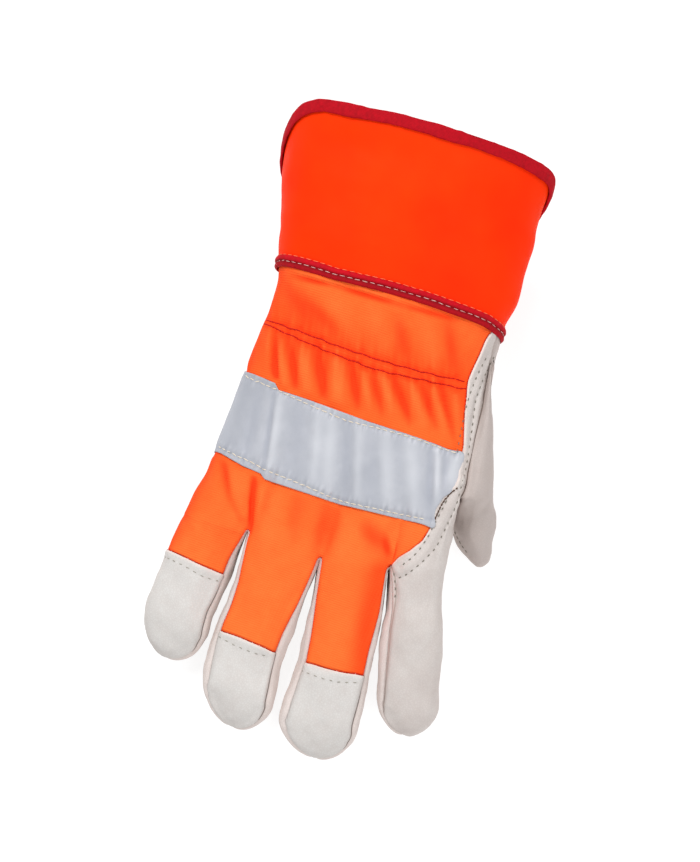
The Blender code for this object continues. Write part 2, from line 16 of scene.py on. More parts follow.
import bpy
import numpy as np
from mathutils import Matrix, Vector
from mathutils.bvhtree import BVHTree
from mathutils.kdtree import KDTree

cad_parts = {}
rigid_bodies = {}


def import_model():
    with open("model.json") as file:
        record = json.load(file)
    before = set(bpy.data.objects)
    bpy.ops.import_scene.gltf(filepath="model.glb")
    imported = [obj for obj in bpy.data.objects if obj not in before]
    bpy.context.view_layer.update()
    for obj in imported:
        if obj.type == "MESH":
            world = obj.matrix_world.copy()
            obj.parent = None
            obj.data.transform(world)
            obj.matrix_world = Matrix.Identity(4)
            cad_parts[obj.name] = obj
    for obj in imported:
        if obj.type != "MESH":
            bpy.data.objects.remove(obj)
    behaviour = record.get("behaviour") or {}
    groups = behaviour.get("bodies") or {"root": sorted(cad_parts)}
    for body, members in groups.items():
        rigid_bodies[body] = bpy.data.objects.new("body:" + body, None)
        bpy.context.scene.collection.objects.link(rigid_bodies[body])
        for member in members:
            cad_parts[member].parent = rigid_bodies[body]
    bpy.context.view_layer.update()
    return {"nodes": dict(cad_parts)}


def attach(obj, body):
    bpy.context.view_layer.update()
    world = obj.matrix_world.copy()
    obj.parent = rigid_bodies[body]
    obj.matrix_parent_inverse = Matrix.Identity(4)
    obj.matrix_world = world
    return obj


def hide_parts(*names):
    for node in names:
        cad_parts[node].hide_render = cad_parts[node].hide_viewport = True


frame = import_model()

MM = 0.001
print("CAD nodes:", len(frame["nodes"]))

# %% [markdown]
# ## The camera
#
# The camera comes first, because folds and stitches are placed later by where they show in the
# picture. It looks almost straight down at the back of the hand, and it is rolled, so that the glove
# leans. Its frame is upright, so Blender's automatic sensor fit measures the lens along the height.

# %% Camera
PICTURE_WIDTH = 700
PICTURE_HEIGHT = 862
FOCAL_PIXELS = 1748.8
CAMERA_DISTANCE = 752.0
CAMERA_TILT = radians(4.0)
CAMERA_ROLL = radians(19.0)
SENSOR = 36.0
AIM = np.array((-4.2, 4.9, 0.0))

ahead = np.array((0.0, sin(CAMERA_TILT), -cos(CAMERA_TILT)))
level = np.array((0.0, cos(CAMERA_TILT), sin(CAMERA_TILT)))
rightward = np.array((cos(CAMERA_ROLL), 0.0, 0.0)) + level * sin(CAMERA_ROLL)
upward = np.array((-sin(CAMERA_ROLL), 0.0, 0.0)) + level * cos(CAMERA_ROLL)
eye = AIM - ahead * CAMERA_DISTANCE

turn = Matrix(np.stack((rightward, upward, -ahead), axis=1).tolist())
bpy.ops.object.camera_add(location=eye * MM, rotation=turn.to_euler())
camera = bpy.context.object
camera.data.sensor_fit = "AUTO"
camera.data.sensor_width = SENSOR
camera.data.lens = SENSOR * FOCAL_PIXELS / PICTURE_HEIGHT
bpy.context.scene.camera = camera
print("lens in mm:", round(camera.data.lens, 2))

# %% [markdown]
# ## The floor and the light
#
# The glove lies on a plain white table under soft studio light. One wide lamp over the top left gives
# the folds their shade, a weaker one fills from the right, and a white sky lights the rest. The table
# glows a little, as a light table does, so that it stays white between the fingers. The plain view
# transform keeps the cloth's bright orange, which the usual filmic one would dull.

# %% Floor, lights and sky
FLOOR_SIZE = 8.0
FLOOR_DROP = 0.3
FLOOR_COLOUR = (0.3, 0.3, 0.3, 1.0)
FLOOR_GLOW = 0.78
FLOOR_ROUGHNESS = 0.9
KEY_LAMP = ((-0.75, 0.75, 1.25), 0.8, 19.0)
FILL_LAMP = ((0.9, -0.5, 1.2), 1.0, 10.0)
SKY_STRENGTH = 0.5
WHITE = (1.0, 1.0, 1.0, 1.0)

bpy.ops.mesh.primitive_plane_add(size=FLOOR_SIZE, location=(0.0, 0.0, -FLOOR_DROP * MM))
floor = bpy.context.object
floor.name = "floor"
floor_paint = bpy.data.materials.new("white table")
floor_paint.use_nodes = True
floor_shader = floor_paint.node_tree.nodes["Principled BSDF"]
floor_shader.inputs["Base Color"].default_value = FLOOR_COLOUR
floor_shader.inputs["Emission Color"].default_value = WHITE
floor_shader.inputs["Emission Strength"].default_value = FLOOR_GLOW
floor_shader.inputs["Roughness"].default_value = FLOOR_ROUGHNESS
floor.data.materials.append(floor_paint)


def add_lamp(name, place, size, watts):
    """A square soft lamp that faces the glove, with its place and size in metres."""
    bpy.ops.object.light_add(type="AREA", location=place)
    lamp = bpy.context.object
    lamp.name = name
    lamp.data.size = size
    lamp.data.energy = watts
    lamp.rotation_euler = Vector(place).to_track_quat("Z", "Y").to_euler()
    return lamp


add_lamp("key lamp", *KEY_LAMP)
add_lamp("fill lamp", *FILL_LAMP)
sky = bpy.data.worlds.new("white studio")
sky.use_nodes = True
sky.node_tree.nodes["Background"].inputs["Color"].default_value = WHITE
sky.node_tree.nodes["Background"].inputs["Strength"].default_value = SKY_STRENGTH
bpy.context.scene.world = sky
bpy.context.scene.view_settings.view_transform = "Standard"

# %% [markdown]
# ## Tools for shells
#
# A CAD shell is a wall of one thickness: an outer face, an inner face and a narrow edge that joins
# them. Cloth is easier to shape as one thin sheet, so only the outer face is kept at first. Every edge
# line of the shell that runs through the wall is exactly as long as the wall is thick. Without those
# lines the shell falls into two sheets, and the larger one is the outer face.

# %% Helpers for picking and for points in millimetres
WELD = 1e-6
bpy.context.tool_settings.mesh_select_mode = (False, True, False)


def pick(*pieces):
    """Selects these objects alone and makes the first one active."""
    bpy.ops.object.select_all(action="DESELECT")
    for piece in pieces:
        piece.select_set(True)
    bpy.context.view_layer.objects.active = pieces[0]


def points_of(mesh):
    flat = np.empty(3 * len(mesh.vertices))
    mesh.vertices.foreach_get("co", flat)
    return flat.reshape(-1, 3) / MM


def set_points(mesh, points):
    mesh.vertices.foreach_set("co", (points * MM).ravel())
    mesh.update()


def normals_of(mesh):
    flat = np.empty(3 * len(mesh.vertices))
    mesh.vertex_normals.foreach_get("vector", flat)
    return flat.reshape(-1, 3)


def note(mesh, name, values):
    """Writes one number at each point, for the materials to read."""
    layer = mesh.attributes.new(name, "FLOAT", "POINT")
    layer.data.foreach_set("value", values.astype(np.float32))


def noted(mesh, name):
    values = np.empty(len(mesh.vertices), np.float32)
    mesh.attributes[name].data.foreach_get("value", values)
    return values.astype(float)


# %% Take the outer face of a shell
THROUGH_WALL = 0.0015
PAIRING_ANGLE = radians(70.0)


def copy_of(node):
    """A copy of a CAD node with its corners merged. Its one material says which node it came from."""
    mesh = frame["nodes"][node].data.copy()
    piece = bpy.data.objects.new(node + "_copy", mesh)
    bpy.context.collection.objects.link(piece)
    mesh.materials.clear()
    mesh.materials.append(bpy.data.materials.new(node))
    pick(piece)
    bpy.ops.mesh.customdata_custom_splitnormals_clear()
    bpy.ops.object.mode_set(mode="EDIT")
    bpy.ops.mesh.select_all(action="SELECT")
    bpy.ops.mesh.remove_doubles(threshold=WELD)
    bpy.ops.mesh.mark_sharp(clear=True)
    bpy.ops.object.mode_set(mode="OBJECT")
    return piece


def area_of(piece):
    return sum(face.area for face in piece.data.polygons)


def outer_face(node, wall):
    """A copy of the outer face of a CAD shell whose wall is so thick, in mm."""
    piece = copy_of(node)
    mesh = piece.data
    points = points_of(mesh)
    for items in (mesh.vertices, mesh.edges, mesh.polygons):
        items.foreach_set("select", np.zeros(len(items), bool))
    for edge in mesh.edges:
        length = np.linalg.norm(np.subtract(*points[list(edge.vertices)]))
        edge.select = abs(length - wall) < THROUGH_WALL
    pick(piece)
    bpy.ops.object.mode_set(mode="EDIT")
    bpy.ops.mesh.delete(type="EDGE")
    bpy.ops.mesh.select_all(action="SELECT")
    bpy.ops.mesh.delete_loose(use_verts=True, use_edges=True, use_faces=False)
    bpy.ops.object.mode_set(mode="OBJECT")
    others = set(bpy.data.objects) - {piece}
    bpy.ops.mesh.separate(type="LOOSE")
    sheets = sorted(set(bpy.data.objects) - others, key=area_of)
    for inner in sheets[:-1]:
        bpy.data.objects.remove(inner)
    return sheets[-1]


def pair_triangles(piece, merge=WELD):
    """Merges points that are closer than this, in metres, and pairs triangles into four-sided faces."""
    pick(piece)
    bpy.ops.object.mode_set(mode="EDIT")
    bpy.ops.mesh.select_all(action="SELECT")
    bpy.ops.mesh.remove_doubles(threshold=merge)
    bpy.ops.mesh.tris_convert_to_quads(
        face_threshold=PAIRING_ANGLE, shape_threshold=PAIRING_ANGLE, materials=True
    )
    bpy.ops.object.mode_set(mode="OBJECT")


# %% [markdown]
# ## The skin of the hand
#
# On the real glove ten panels of cloth and leather are cut flat and sewn edge to edge, so their
# surfaces run into each other. Ten separate sheets would each round off at their own edges and leave
# slits. So the ten outer faces are joined first, the narrow gaps at their seams are merged, and the
# whole hand is rounded as one skin. It falls into its panels again after the folds are in.
#
# A subdivision surface shrinks away from its corners. To keep the measured size, the corners are moved
# out by as much as the smooth surface has moved in, three times over, before the modifier is applied.

# %% Join the ten outer faces
FABRIC_WALL = 1.2
LEATHER_WALL = 1.4
SEAM_MERGE = 0.7 * MM
TIPS = ("little_fingertip", "ring_fingertip", "middle_fingertip")
SIDE_STRIPS = ("fourchette_little_ring", "fourchette_ring_middle", "fourchette_middle_index")
LEATHER_PANELS = ("index_back", "thumb", "palm", *TIPS, *SIDE_STRIPS)
HAND_PANELS = ("back_panel", *LEATHER_PANELS)

sheets = [outer_face(node, FABRIC_WALL if node == "back_panel" else LEATHER_WALL) for node in HAND_PANELS]
pick(*sheets)
bpy.ops.object.join()
skin = bpy.context.object
pair_triangles(skin, SEAM_MERGE)
panel_names = [slot.name for slot in skin.data.materials]
print("skin faces:", len(skin.data.polygons), "panels:", panel_names)

# %% Round a sheet without shrinking it
ROUNDING = 3
BAND_ROUNDING = 4
CAGE_PASSES = 3


def smooth_places(piece):
    """Where the rounded surface puts the piece's own points, in mm."""
    evaluated = piece.evaluated_get(bpy.context.evaluated_depsgraph_get())
    mesh = evaluated.to_mesh()
    places = points_of(mesh)[: len(piece.data.vertices)]
    evaluated.to_mesh_clear()
    return places


def round_off(piece, levels=ROUNDING):
    """Subdivides a piece so that its smooth surface passes through the points it has now."""
    wanted = points_of(piece.data)
    rounding = piece.modifiers.new("rounding", "SUBSURF")
    rounding.levels = levels
    rounding.render_levels = levels
    for _ in range(CAGE_PASSES):
        bpy.context.view_layer.update()
        set_points(piece.data, points_of(piece.data) + wanted - smooth_places(piece))
    pick(piece)
    bpy.ops.object.modifier_apply(modifier=rounding.name)
    bpy.ops.object.shade_smooth()


round_off(skin)
print("rounded skin faces:", len(skin.data.polygons))

# %% [markdown]
# ## Seams and edges
#
# Where two leather panels are sewn together and turned, the seam sinks into a thin dark groove with a
# small swell on each side. Where leather is laid over the cloth, the cloth dips and the leather's edge
# stands up. Both need to know how far each point is from the nearest such line, so the lines are read
# off the skin: an edge whose two faces belong to different panels is part of a seam.

# %% Distance to the lines where panels meet
FAR = 30.0


def panels_at_edges(mesh):
    """(lowest panel number, highest, count of faces) at each edge."""
    loop_edges = np.empty(len(mesh.loops), int)
    mesh.loops.foreach_get("edge_index", loop_edges)
    sizes = np.empty(len(mesh.polygons), int)
    mesh.polygons.foreach_get("loop_total", sizes)
    numbers = np.empty(len(mesh.polygons), int)
    mesh.polygons.foreach_get("material_index", numbers)
    loop_panels = np.repeat(numbers, sizes)
    low = np.full(len(mesh.edges), len(panel_names))
    high = np.full(len(mesh.edges), -1)
    uses = np.bincount(loop_edges, minlength=len(mesh.edges))
    np.minimum.at(low, loop_edges, loop_panels)
    np.maximum.at(high, loop_edges, loop_panels)
    return low, high, uses


def tree_of(places):
    tree = KDTree(len(places))
    for number, place in enumerate(places):
        tree.insert(place, number)
    tree.balance()
    return tree


def lines_of(mesh, chosen):
    """The chosen edges of a mesh as lines or loops of its points, each in order."""
    ends = np.empty(2 * len(mesh.edges), int)
    mesh.edges.foreach_get("vertices", ends)
    after = {}
    for first, second in ends.reshape(-1, 2)[chosen].tolist():
        after.setdefault(first, []).append(second)
        after.setdefault(second, []).append(first)
    lines = []
    while after:
        start = min(after, key=lambda number: (len(after[number]), number))
        line = [start]
        while True:
            following = [number for number in after.pop(line[-1]) if number in after]
            if not following:
                break
            line.append(following[0])
        lines.append(line)
    return [line for line in lines if len(line) > 2]


def distance_to(mesh, chosen):
    """Each point's distance in mm from the chosen edges of its mesh, up to FAR."""
    points = points_of(mesh)
    ends = np.empty(2 * len(mesh.edges), int)
    mesh.edges.foreach_get("vertices", ends)
    ends = ends.reshape(-1, 2)[chosen]
    on_line = np.unique(ends)
    tree = tree_of(np.concatenate((points[on_line], points[ends].mean(axis=1))))
    found = np.array([tree.find(point)[2] for point in points])
    found[on_line] = 0.0
    return np.minimum(found, FAR)


low, high, uses = panels_at_edges(skin.data)
cloth = panel_names.index("back_panel")
laid_over = [panel_names.index(name) for name in ("index_back", *TIPS)]
on_cloth = (low == cloth) | (high == cloth)
edged = (uses == 2) & on_cloth & (np.isin(low, laid_over) | np.isin(high, laid_over))
hemmed = (uses == 2) & (low != high) & on_cloth & ~edged
turned = (uses == 2) & (low != high) & ~on_cloth
from_edge = distance_to(skin.data, edged)
from_hem = distance_to(skin.data, hemmed)
from_seam = distance_to(skin.data, turned)
note(skin.data, "edge", from_edge)
note(skin.data, "hem", from_hem)
note(skin.data, "seam", from_seam)
print("edge lines:", edged.sum(), "hems:", hemmed.sum(), "turned seams:", turned.sum())

# %% [markdown]
# ## The folds of the cloth back
#
# A strip of elastic is sewn under the cloth across the back of the hand. It gathers the cloth into
# folds that run from it down under the reflective tape and, more softly, up to the cuff. The folds are
# placed one by one, as they show in the picture, so that they match the real ones: each is a line in
# picture pixels with a half width in pixels and a height in mm, below zero for a valley.

# %% Where a point shows in the picture
CENTRE_X = PICTURE_WIDTH / 2
CENTRE_Y = PICTURE_HEIGHT / 2
RIPPLE_SPREAD = (0.6, 1.5)


def in_picture(points):
    """The picture's pixel under each point."""
    away = points - eye
    scale = FOCAL_PIXELS / (away @ ahead)
    return np.stack((CENTRE_X + scale * (away @ rightward), CENTRE_Y - scale * (away @ upward)), axis=1)


def even_path(line, step=0.4, closed=False):
    """The same broken line with a point at every step along it."""
    line = np.array(line, float)
    if closed:
        line = np.concatenate((line, line[:1]))
    lengths = np.linalg.norm(np.diff(line, axis=0), axis=1)
    reached = np.concatenate(((0.0,), np.cumsum(lengths)))
    wanted = np.arange(0.0, reached[-1], step)
    return np.stack([np.interp(wanted, reached, line[:, k]) for k in range(line.shape[1])], axis=1)


def smooth_line(line, passes=24, closed=False):
    """Softens the corners of an even path. An open one keeps its ends."""
    line = line.copy()
    for _ in range(passes):
        if closed:
            line = (np.roll(line, 1, axis=0) + 2.0 * line + np.roll(line, -1, axis=0)) / 4.0
        else:
            line[1:-1] = (line[:-2] + 2.0 * line[1:-1] + line[2:]) / 4.0
    return line


def beside(places, line):
    """(distance, side, way along) of each place from a broken line. The side is above zero below it."""
    distance = np.full(len(places), np.inf)
    side = np.zeros(len(places))
    along = np.zeros(len(places))
    passed = 0.0
    for start, end in zip(line, line[1:]):
        way = np.subtract(end, start)
        length = np.hypot(*way)
        share = np.clip((places - start) @ way / length**2, 0.0, 1.0)
        off = places - start - share[:, None] * way
        gap = np.hypot(*off.T)
        nearer = gap < distance
        distance[nearer] = gap[nearer]
        side[nearer] = np.sign(way[0] * off[nearer, 1] - way[1] * off[nearer, 0])
        along[nearer] = passed + share[nearer] * length
        passed += length
    return distance, side, along


def swell(distance, width):
    """A soft hump: 1 on the line, and almost 0 at twice the width."""
    return np.exp(-((distance / width) ** 2))


def ease(values, start, end):
    """0 up to the start, 1 from the end, and a smooth rise between."""
    share = np.clip((values - start) / (end - start), 0.0, 1.0)
    return share * share * (3.0 - 2.0 * share)


def ripples(points, size, seed, waves=16):
    """Soft random waves of about this size in mm, from -1 to 1 for the most part."""
    draw = np.random.default_rng(seed)
    ways = draw.normal(size=(waves, 3))
    ways *= (2.0 * pi / size / np.linalg.norm(ways, axis=1) * draw.uniform(*RIPPLE_SPREAD, waves))[:, None]
    return np.sin(points @ ways.T + draw.uniform(0.0, 2.0 * pi, waves)).sum(axis=1) * (2.0 / waves) ** 0.5


def soft_waves(points, sizes_and_heights, seed):
    """The summed ripples of some sizes and heights in mm, drawn from one seed."""
    return sum(height * ripples(points, size, seed) for size, height in sizes_and_heights)


# %% The folds, one by one
# Each row holds x, y of the start, x, y of the end, the half width and the height.
BACK_FOLDS = (
    (281, 280, 316, 333, 9.0, -0.7),
    (303, 297, 341, 338, 7.0, -0.7),
    (325, 285, 356, 340, 10.0, 0.5),
    (369, 300, 386, 354, 10.0, 0.5),
    (398, 318, 407, 362, 7.0, -0.7),
    (424, 316, 434, 370, 10.0, 0.5),
    (448, 320, 455, 374, 7.0, -0.7),
    (268, 322, 270, 360, 5.2, 0.7),
    (273, 332, 276, 390, 3.9, -1.6),
    (280, 340, 284, 385, 4.3, 0.9),
    (289, 338, 296, 392, 4.3, -1.2),
    (303, 346, 308, 396, 6.0, 1.0),
    (317, 348, 324, 400, 5.2, -1.3),
    (336, 353, 340, 406, 6.9, 1.0),
    (351, 360, 357, 408, 4.3, -1.2),
    (361, 366, 370, 410, 4.3, 0.8),
    (372, 374, 382, 414, 3.9, -0.8),
    (380, 368, 394, 416, 5.2, 0.9),
    (393, 376, 410, 422, 4.3, -1.2),
    (408, 378, 424, 424, 5.2, 0.9),
    (420, 380, 438, 430, 4.3, -1.0),
    (432, 384, 446, 434, 5.2, 0.8),
    (440, 382, 455, 440, 3.9, -1.0),
    (454, 388, 462, 436, 5.2, 0.7),
    (292, 276, 336, 287, 3.0, -1.0),
    (336, 287, 400, 305, 3.0, -1.1),
    (400, 305, 456, 320, 3.0, -0.9),
    (296, 272, 400, 300, 2.4, 0.4),
    (222, 456, 230, 498, 4.2, -0.9),
    (229, 494, 243, 524, 4.2, -0.55),
    (232, 466, 236, 500, 6.0, 0.4),
    (255, 470, 252, 508, 4.2, -1.1),
    (253, 498, 250, 534, 2.8, -1.2),
    (262, 484, 258, 522, 3.5, 0.5),
    (244, 462, 238, 520, 8.0, 0.4),
    (274, 480, 268, 560, 12.0, 0.5),
    (300, 488, 290, 540, 9.0, -0.35),
    (332, 500, 320, 556, 10.0, -0.5),
    (354, 506, 336, 566, 12.0, 0.4),
    (358, 522, 390, 552, 11.0, -0.7),
    (386, 536, 391, 562, 4.5, -0.8),
    (368, 572, 362, 668, 7.0, -0.15),
    (402, 512, 394, 556, 13.0, 0.4),
    (404, 524, 436, 532, 6.0, 0.4),
)
TAPE_FOLDS = (
    (240, 370, 214, 452, 7.0, 0.3),
    (262, 378, 242, 466, 6.0, -0.35),
    (275, 380, 262, 478, 3.0, -0.6),
    (280, 388, 268, 480, 5.0, 0.42),
    (300, 392, 290, 490, 10.0, -0.3),
    (319, 398, 312, 496, 5.0, 0.35),
    (332, 402, 326, 500, 8.0, 0.4),
    (347, 408, 344, 506, 7.0, -0.35),
    (359, 414, 356, 510, 5.0, 0.3),
    (372, 420, 376, 514, 9.0, -0.2),
    (384, 424, 388, 517, 8.0, 0.35),
    (398, 430, 400, 484, 5.0, -0.12),
    (411, 432, 414, 520, 7.0, 0.35),
    (431, 440, 428, 518, 4.0, -0.5),
    (439, 442, 436, 502, 4.0, 0.45),
    (446, 446, 444, 492, 4.0, -0.35),
    (458, 450, 452, 486, 6.0, 0.5),
)
FOLD_END = 0.25


def fold_heights(places, folds):
    """The folds' summed heights. A fold fades towards both of its ends."""
    heights = np.zeros(len(places))
    for x0, y0, x1, y1, width, height in folds:
        distance, _, along = beside(places, ((x0, y0), (x1, y1)))
        share = along / np.hypot(x1 - x0, y1 - y0)
        heights += height * swell(distance, width) * (
            FOLD_END + (1.0 - FOLD_END) * (1.0 - (2.0 * share - 1.0) ** 2)
        )
    return heights


# %% [markdown]
# The elastic itself shows as two wavy rows of stitches with a puffy ridge between them. The rows pull
# the cloth in, and small puckers fan out from them, longer towards the fingers than towards the cuff.

# %% The elastic and its puckers
ELASTIC_UPPER = (
    (247, 313), (267, 320), (299, 331), (340, 347), (379, 360), (411, 369), (447, 378), (470, 382),
)
ELASTIC_LOWER = (
    (245, 317), (264, 323), (294, 337), (329, 352), (376, 370), (419, 379), (445, 385), (469, 390),
)
ROW_STEP = 2.0
ROW_PASSES = 30
ROW_DEPTH = 0.9
ROW_WIDTH = 2.8
ROW_WAVES = ((14.0, 0.9, 0.0), (8.3, 0.6, 1.0), (23.0, 0.7, 2.2))
RIDGE_HEIGHT = 0.5
RIDGE_WIDTH = 3.8
PUCKER_HEIGHT = 0.3
PUCKER_REACH_DOWN = 24.0
PUCKER_REACH_UP = 9.0
PUCKER_WAVES = ((11.5, 0.3), (16.5, 1.9), (7.1, 4.0))
PUCKER_SLANT = 0.25
PUCKER_START = 5.0
WAVES_PEAK = 1.5


def wavy(row, start):
    """A row of pixels that wanders a little to each side, as sewing on gathered cloth does."""
    line = smooth_line(even_path(row, ROW_STEP), ROW_PASSES)
    along = ROW_STEP * np.arange(len(line))
    ways = np.gradient(line, axis=0)
    ways /= np.hypot(*ways.T)[:, None]
    wave = sum(
        height * np.sin(2.0 * pi * along / length + first + start) for length, height, first in ROW_WAVES
    )
    return line + wave[:, None] * np.stack((-ways[:, 1], ways[:, 0]), axis=1)


upper_row = wavy(ELASTIC_UPPER, start=0.0)
lower_row = wavy(ELASTIC_LOWER, start=0.9)


def elastic_heights(places):
    """The heights in mm that the two rows, the ridge between them and the puckers give the cloth."""
    to_upper, _, _ = beside(places, upper_row)
    to_lower, _, _ = beside(places, lower_row)
    heights = -ROW_DEPTH * swell(np.minimum(to_upper, to_lower), ROW_WIDTH)
    heights += RIDGE_HEIGHT * swell((to_upper + to_lower) / 2.0, RIDGE_WIDTH)
    to_middle, side, along = beside(places, ELASTIC_UPPER)
    slanted = along - PUCKER_SLANT * to_middle * side
    waves = sum(np.sin(2.0 * pi * slanted / length + first) for length, first in PUCKER_WAVES)
    reach = np.where(side > 0.0, PUCKER_REACH_DOWN, PUCKER_REACH_UP)
    heights += (
        PUCKER_HEIGHT * waves / WAVES_PEAK * np.exp(-to_middle / reach) * ease(to_middle, 0.0, PUCKER_START)
    )
    return heights


# %% Helpers that shape a sheet
GROOVE_DEPTH = 0.5
GROOVE_WIDTH = 0.8
GROOVE_SWELL = 0.2
GROOVE_SWELL_AT = 2.2
GROOVE_SWELL_WIDTH = 1.2
CLOTH_DIP = 0.25
CLOTH_DIP_WIDTH = 3.0
CLOTH_SOFTNESS = ((30.0, 0.3), (11.0, 0.14))
CLOTH_SEED = 11
LEATHER_SOFTNESS = ((26.0, 0.3), (9.0, 0.09), (3.4, 0.03))
LEATHER_SEED = 23
FACING_CAMERA = (0.05, 0.4)
FOLD_SHADE_HEIGHT = 0.85


def facing_up(normals):
    """1 where a surface faces the camera, and 0 at the sides of the hand and below."""
    return ease(normals[:, 2], *FACING_CAMERA)


def press(mesh, heights):
    """Moves each point out along its normal by its height in mm, but not through the table."""
    points = points_of(mesh) + normals_of(mesh) * heights[:, None]
    points[:, 2] = np.maximum(points[:, 2], 0.0)
    set_points(mesh, points)


def point_share(mesh, panel):
    """1 at the points of a panel's faces, and 0 elsewhere."""
    share = np.zeros(len(mesh.vertices))
    for face in mesh.polygons:
        if face.material_index == panel:
            share[list(face.vertices)] = 1.0
    return share


# %% [markdown]
# The measured shapes are simple, and in a few places the real outline or seam lies a few pixels beside
# theirs. There every sheet is drawn sideways by the same soft nudges, so that the sheets stay together.
# A nudge has a reach in pixels and a line of (x, y, pixels to the right, pixels down) in the picture.

# %% Nudges towards the picture
PIXEL_SIZE = 0.43
NUDGES = (
    (22.0, ((282, 260, 0.0, 0.0), (310, 262, 0.0, 4.0), (335, 266, 0.0, 7.0), (360, 272, 0.0, 6.5),
            (385, 280, 0.0, 5.0), (410, 288, 0.0, 3.5), (455, 308, 0.0, 0.0), (488, 326, 0.0, -4.5),
            (503, 338, -1.0, -4.0))),
    (30.0, ((432, 119, 0.0, 2.0), (452, 126, 0.0, 3.0), (480, 136, 0.0, 2.0))),
    (14.0, ((554, 196, -2.0, 0.0), (550, 212, -3.5, 0.0), (545, 228, -3.0, 0.0))),
    (25.0, ((284, 180, -2.5, 0.0), (283, 215, -3.5, 0.0), (281, 242, -2.0, 0.0))),
    (13.0, ((217, 596, 0.0, 0.0), (209, 612, -2.0, 0.0), (201, 632, 0.0, 0.0))),
    (16.0, ((165, 652, 0.0, 3.5), (190, 656, 0.0, 3.5))),
    (10.0, ((237, 580, 0.0, 0.0), (231, 603, -2.5, 0.0), (226, 624, -5.0, 0.0), (219, 645, -5.5, 0.0),
            (213, 665, -5.0, 0.0), (211, 685, -3.5, 0.0), (213, 704, -1.0, 0.0))),
    (9.0, ((286, 616, -1.5, 0.0), (281, 635, -2.5, 0.0), (276, 655, -2.5, 0.0), (272, 675, -1.0, 0.0))),
    (10.0, ((302, 662, 0.0, 0.0), (297, 682, -2.5, 0.0), (292, 703, -4.5, 0.0), (289, 722, -5.0, 0.0),
            (293, 744, -1.5, 0.0))),
    (9.0, ((385, 585, 1.0, 0.0), (376, 611, 4.0, 0.0), (370, 630, 4.5, 0.0), (364, 653, 4.0, 0.0),
           (360, 675, 3.5, 0.0), (356, 700, 2.5, 0.0), (351, 725, 0.0, 0.0))),
    (12.0, ((398, 557, 0.0, 1.0), (407, 547, 2.0, 4.0), (418, 538, 3.5, 4.0), (428, 524, 3.0, 2.5),
            (436, 513, 0.0, 0.0))),
    (7.0, ((457, 481, 3.0, 0.0), (455, 487, 3.0, 0.0), (452, 493, -1.0, 0.0), (450, 498, -5.0, -1.0),
           (443, 511, -6.0, -1.0), (438, 518, -3.5, 0.0), (434, 524, 0.0, 0.0))),
    (11.0, ((453, 541, 3.0, -5.0), (466, 557, 2.0, -2.5), (478, 565, 0.0, 1.0))),
    (9.0, ((497, 528, -0.5, 0.0), (496, 543, -3.5, 0.0), (493, 554, -4.5, 0.0), (486, 563, -2.0, 0.5))),
)


def nudge(piece):
    """Draws a sheet's points sideways by the nudges near them."""
    points = points_of(piece.data)
    places = in_picture(points)
    right, down = np.zeros(len(points)), np.zeros(len(points))
    for reach, line in NUDGES:
        corners = np.array(line, float)
        distance, _, along = beside(places, corners[:, :2])
        passed = np.concatenate(((0.0,), np.cumsum(np.hypot(*np.diff(corners[:, :2], axis=0).T))))
        share = PIXEL_SIZE * swell(distance, reach)
        right += share * np.interp(along, passed, corners[:, 2])
        down += share * np.interp(along, passed, corners[:, 3])
    set_points(piece.data, points + right[:, None] * rightward - down[:, None] * upward)


nudge(skin)

# %% [markdown]
# Under the reflective tape the cloth lies flat and a little lower, so that it can't show through. So
# the tape's own sheet is made first, and the skin's points that are near it are found. The tape has a
# sewn-down fold near the little finger's side, and left of it the tape sits a little higher. Its two
# edges are moved onto those in the picture, by a few pixels that change along the tape.

# %% The sheet of the reflective tape
TAPE_WALL = 1.0
UNDER_TAPE = (1.6, 3.2)
UNDER_TAPE_DROP = 0.45
TAPE_STEP_LINE = ((277.0, 376.0), (262.0, 478.0))
TAPE_TOP_EDGE = ((245.0, 377.0), (276.0, 384.0), (374.0, 415.0), (462.0, 445.5))
TAPE_BOTTOM_EDGE = ((216.0, 455.5), (265.0, 471.0), (336.0, 497.5), (406.0, 516.0), (430.0, 521.5))
TAPE_TOP_DOWN = ((-40.0, -7.0), (-2.0, -2.5), (2.0, 3.0), (50.0, 4.0), (95.0, 5.5), (190.0, 4.5))
TAPE_BOTTOM_DOWN = (
    (-46.0, -4.0), (-22.0, 1.4), (-2.0, 2.8), (2.0, 7.0), (75.0, 6.0), (140.0, 5.5), (170.0, 4.0),
)

tape = outer_face("reflective_tape", TAPE_WALL)
pair_triangles(tape)
round_off(tape, BAND_ROUNDING)
tape_points, tape_normals = points_of(tape.data), normals_of(tape.data)
tape_places = in_picture(tape_points)
gap, side, _ = beside(tape_places, TAPE_STEP_LINE)
to_top, to_bottom = (beside(tape_places, edge)[0] for edge in (TAPE_TOP_EDGE, TAPE_BOTTOM_EDGE))
top_share = to_bottom / (to_top + to_bottom)
top_down, bottom_down = (
    np.interp(-gap * side, *np.transpose(moves)) for moves in (TAPE_TOP_DOWN, TAPE_BOTTOM_DOWN)
)
down = PIXEL_SIZE * (top_share * top_down + (1.0 - top_share) * bottom_down)
along_tape = upward - tape_normals * (tape_normals @ upward)[:, None]
set_points(tape.data, tape_points - along_tape * down[:, None])
nudge(tape)
tape_tree = tree_of(points_of(tape.data))
points = points_of(skin.data)
from_tape = np.array([tape_tree.find(point)[2] for point in points])
bare = ease(from_tape, *UNDER_TAPE)
print("tape sheet faces:", len(tape.data.polygons), "skin points under it:", int((bare < 0.5).sum()))

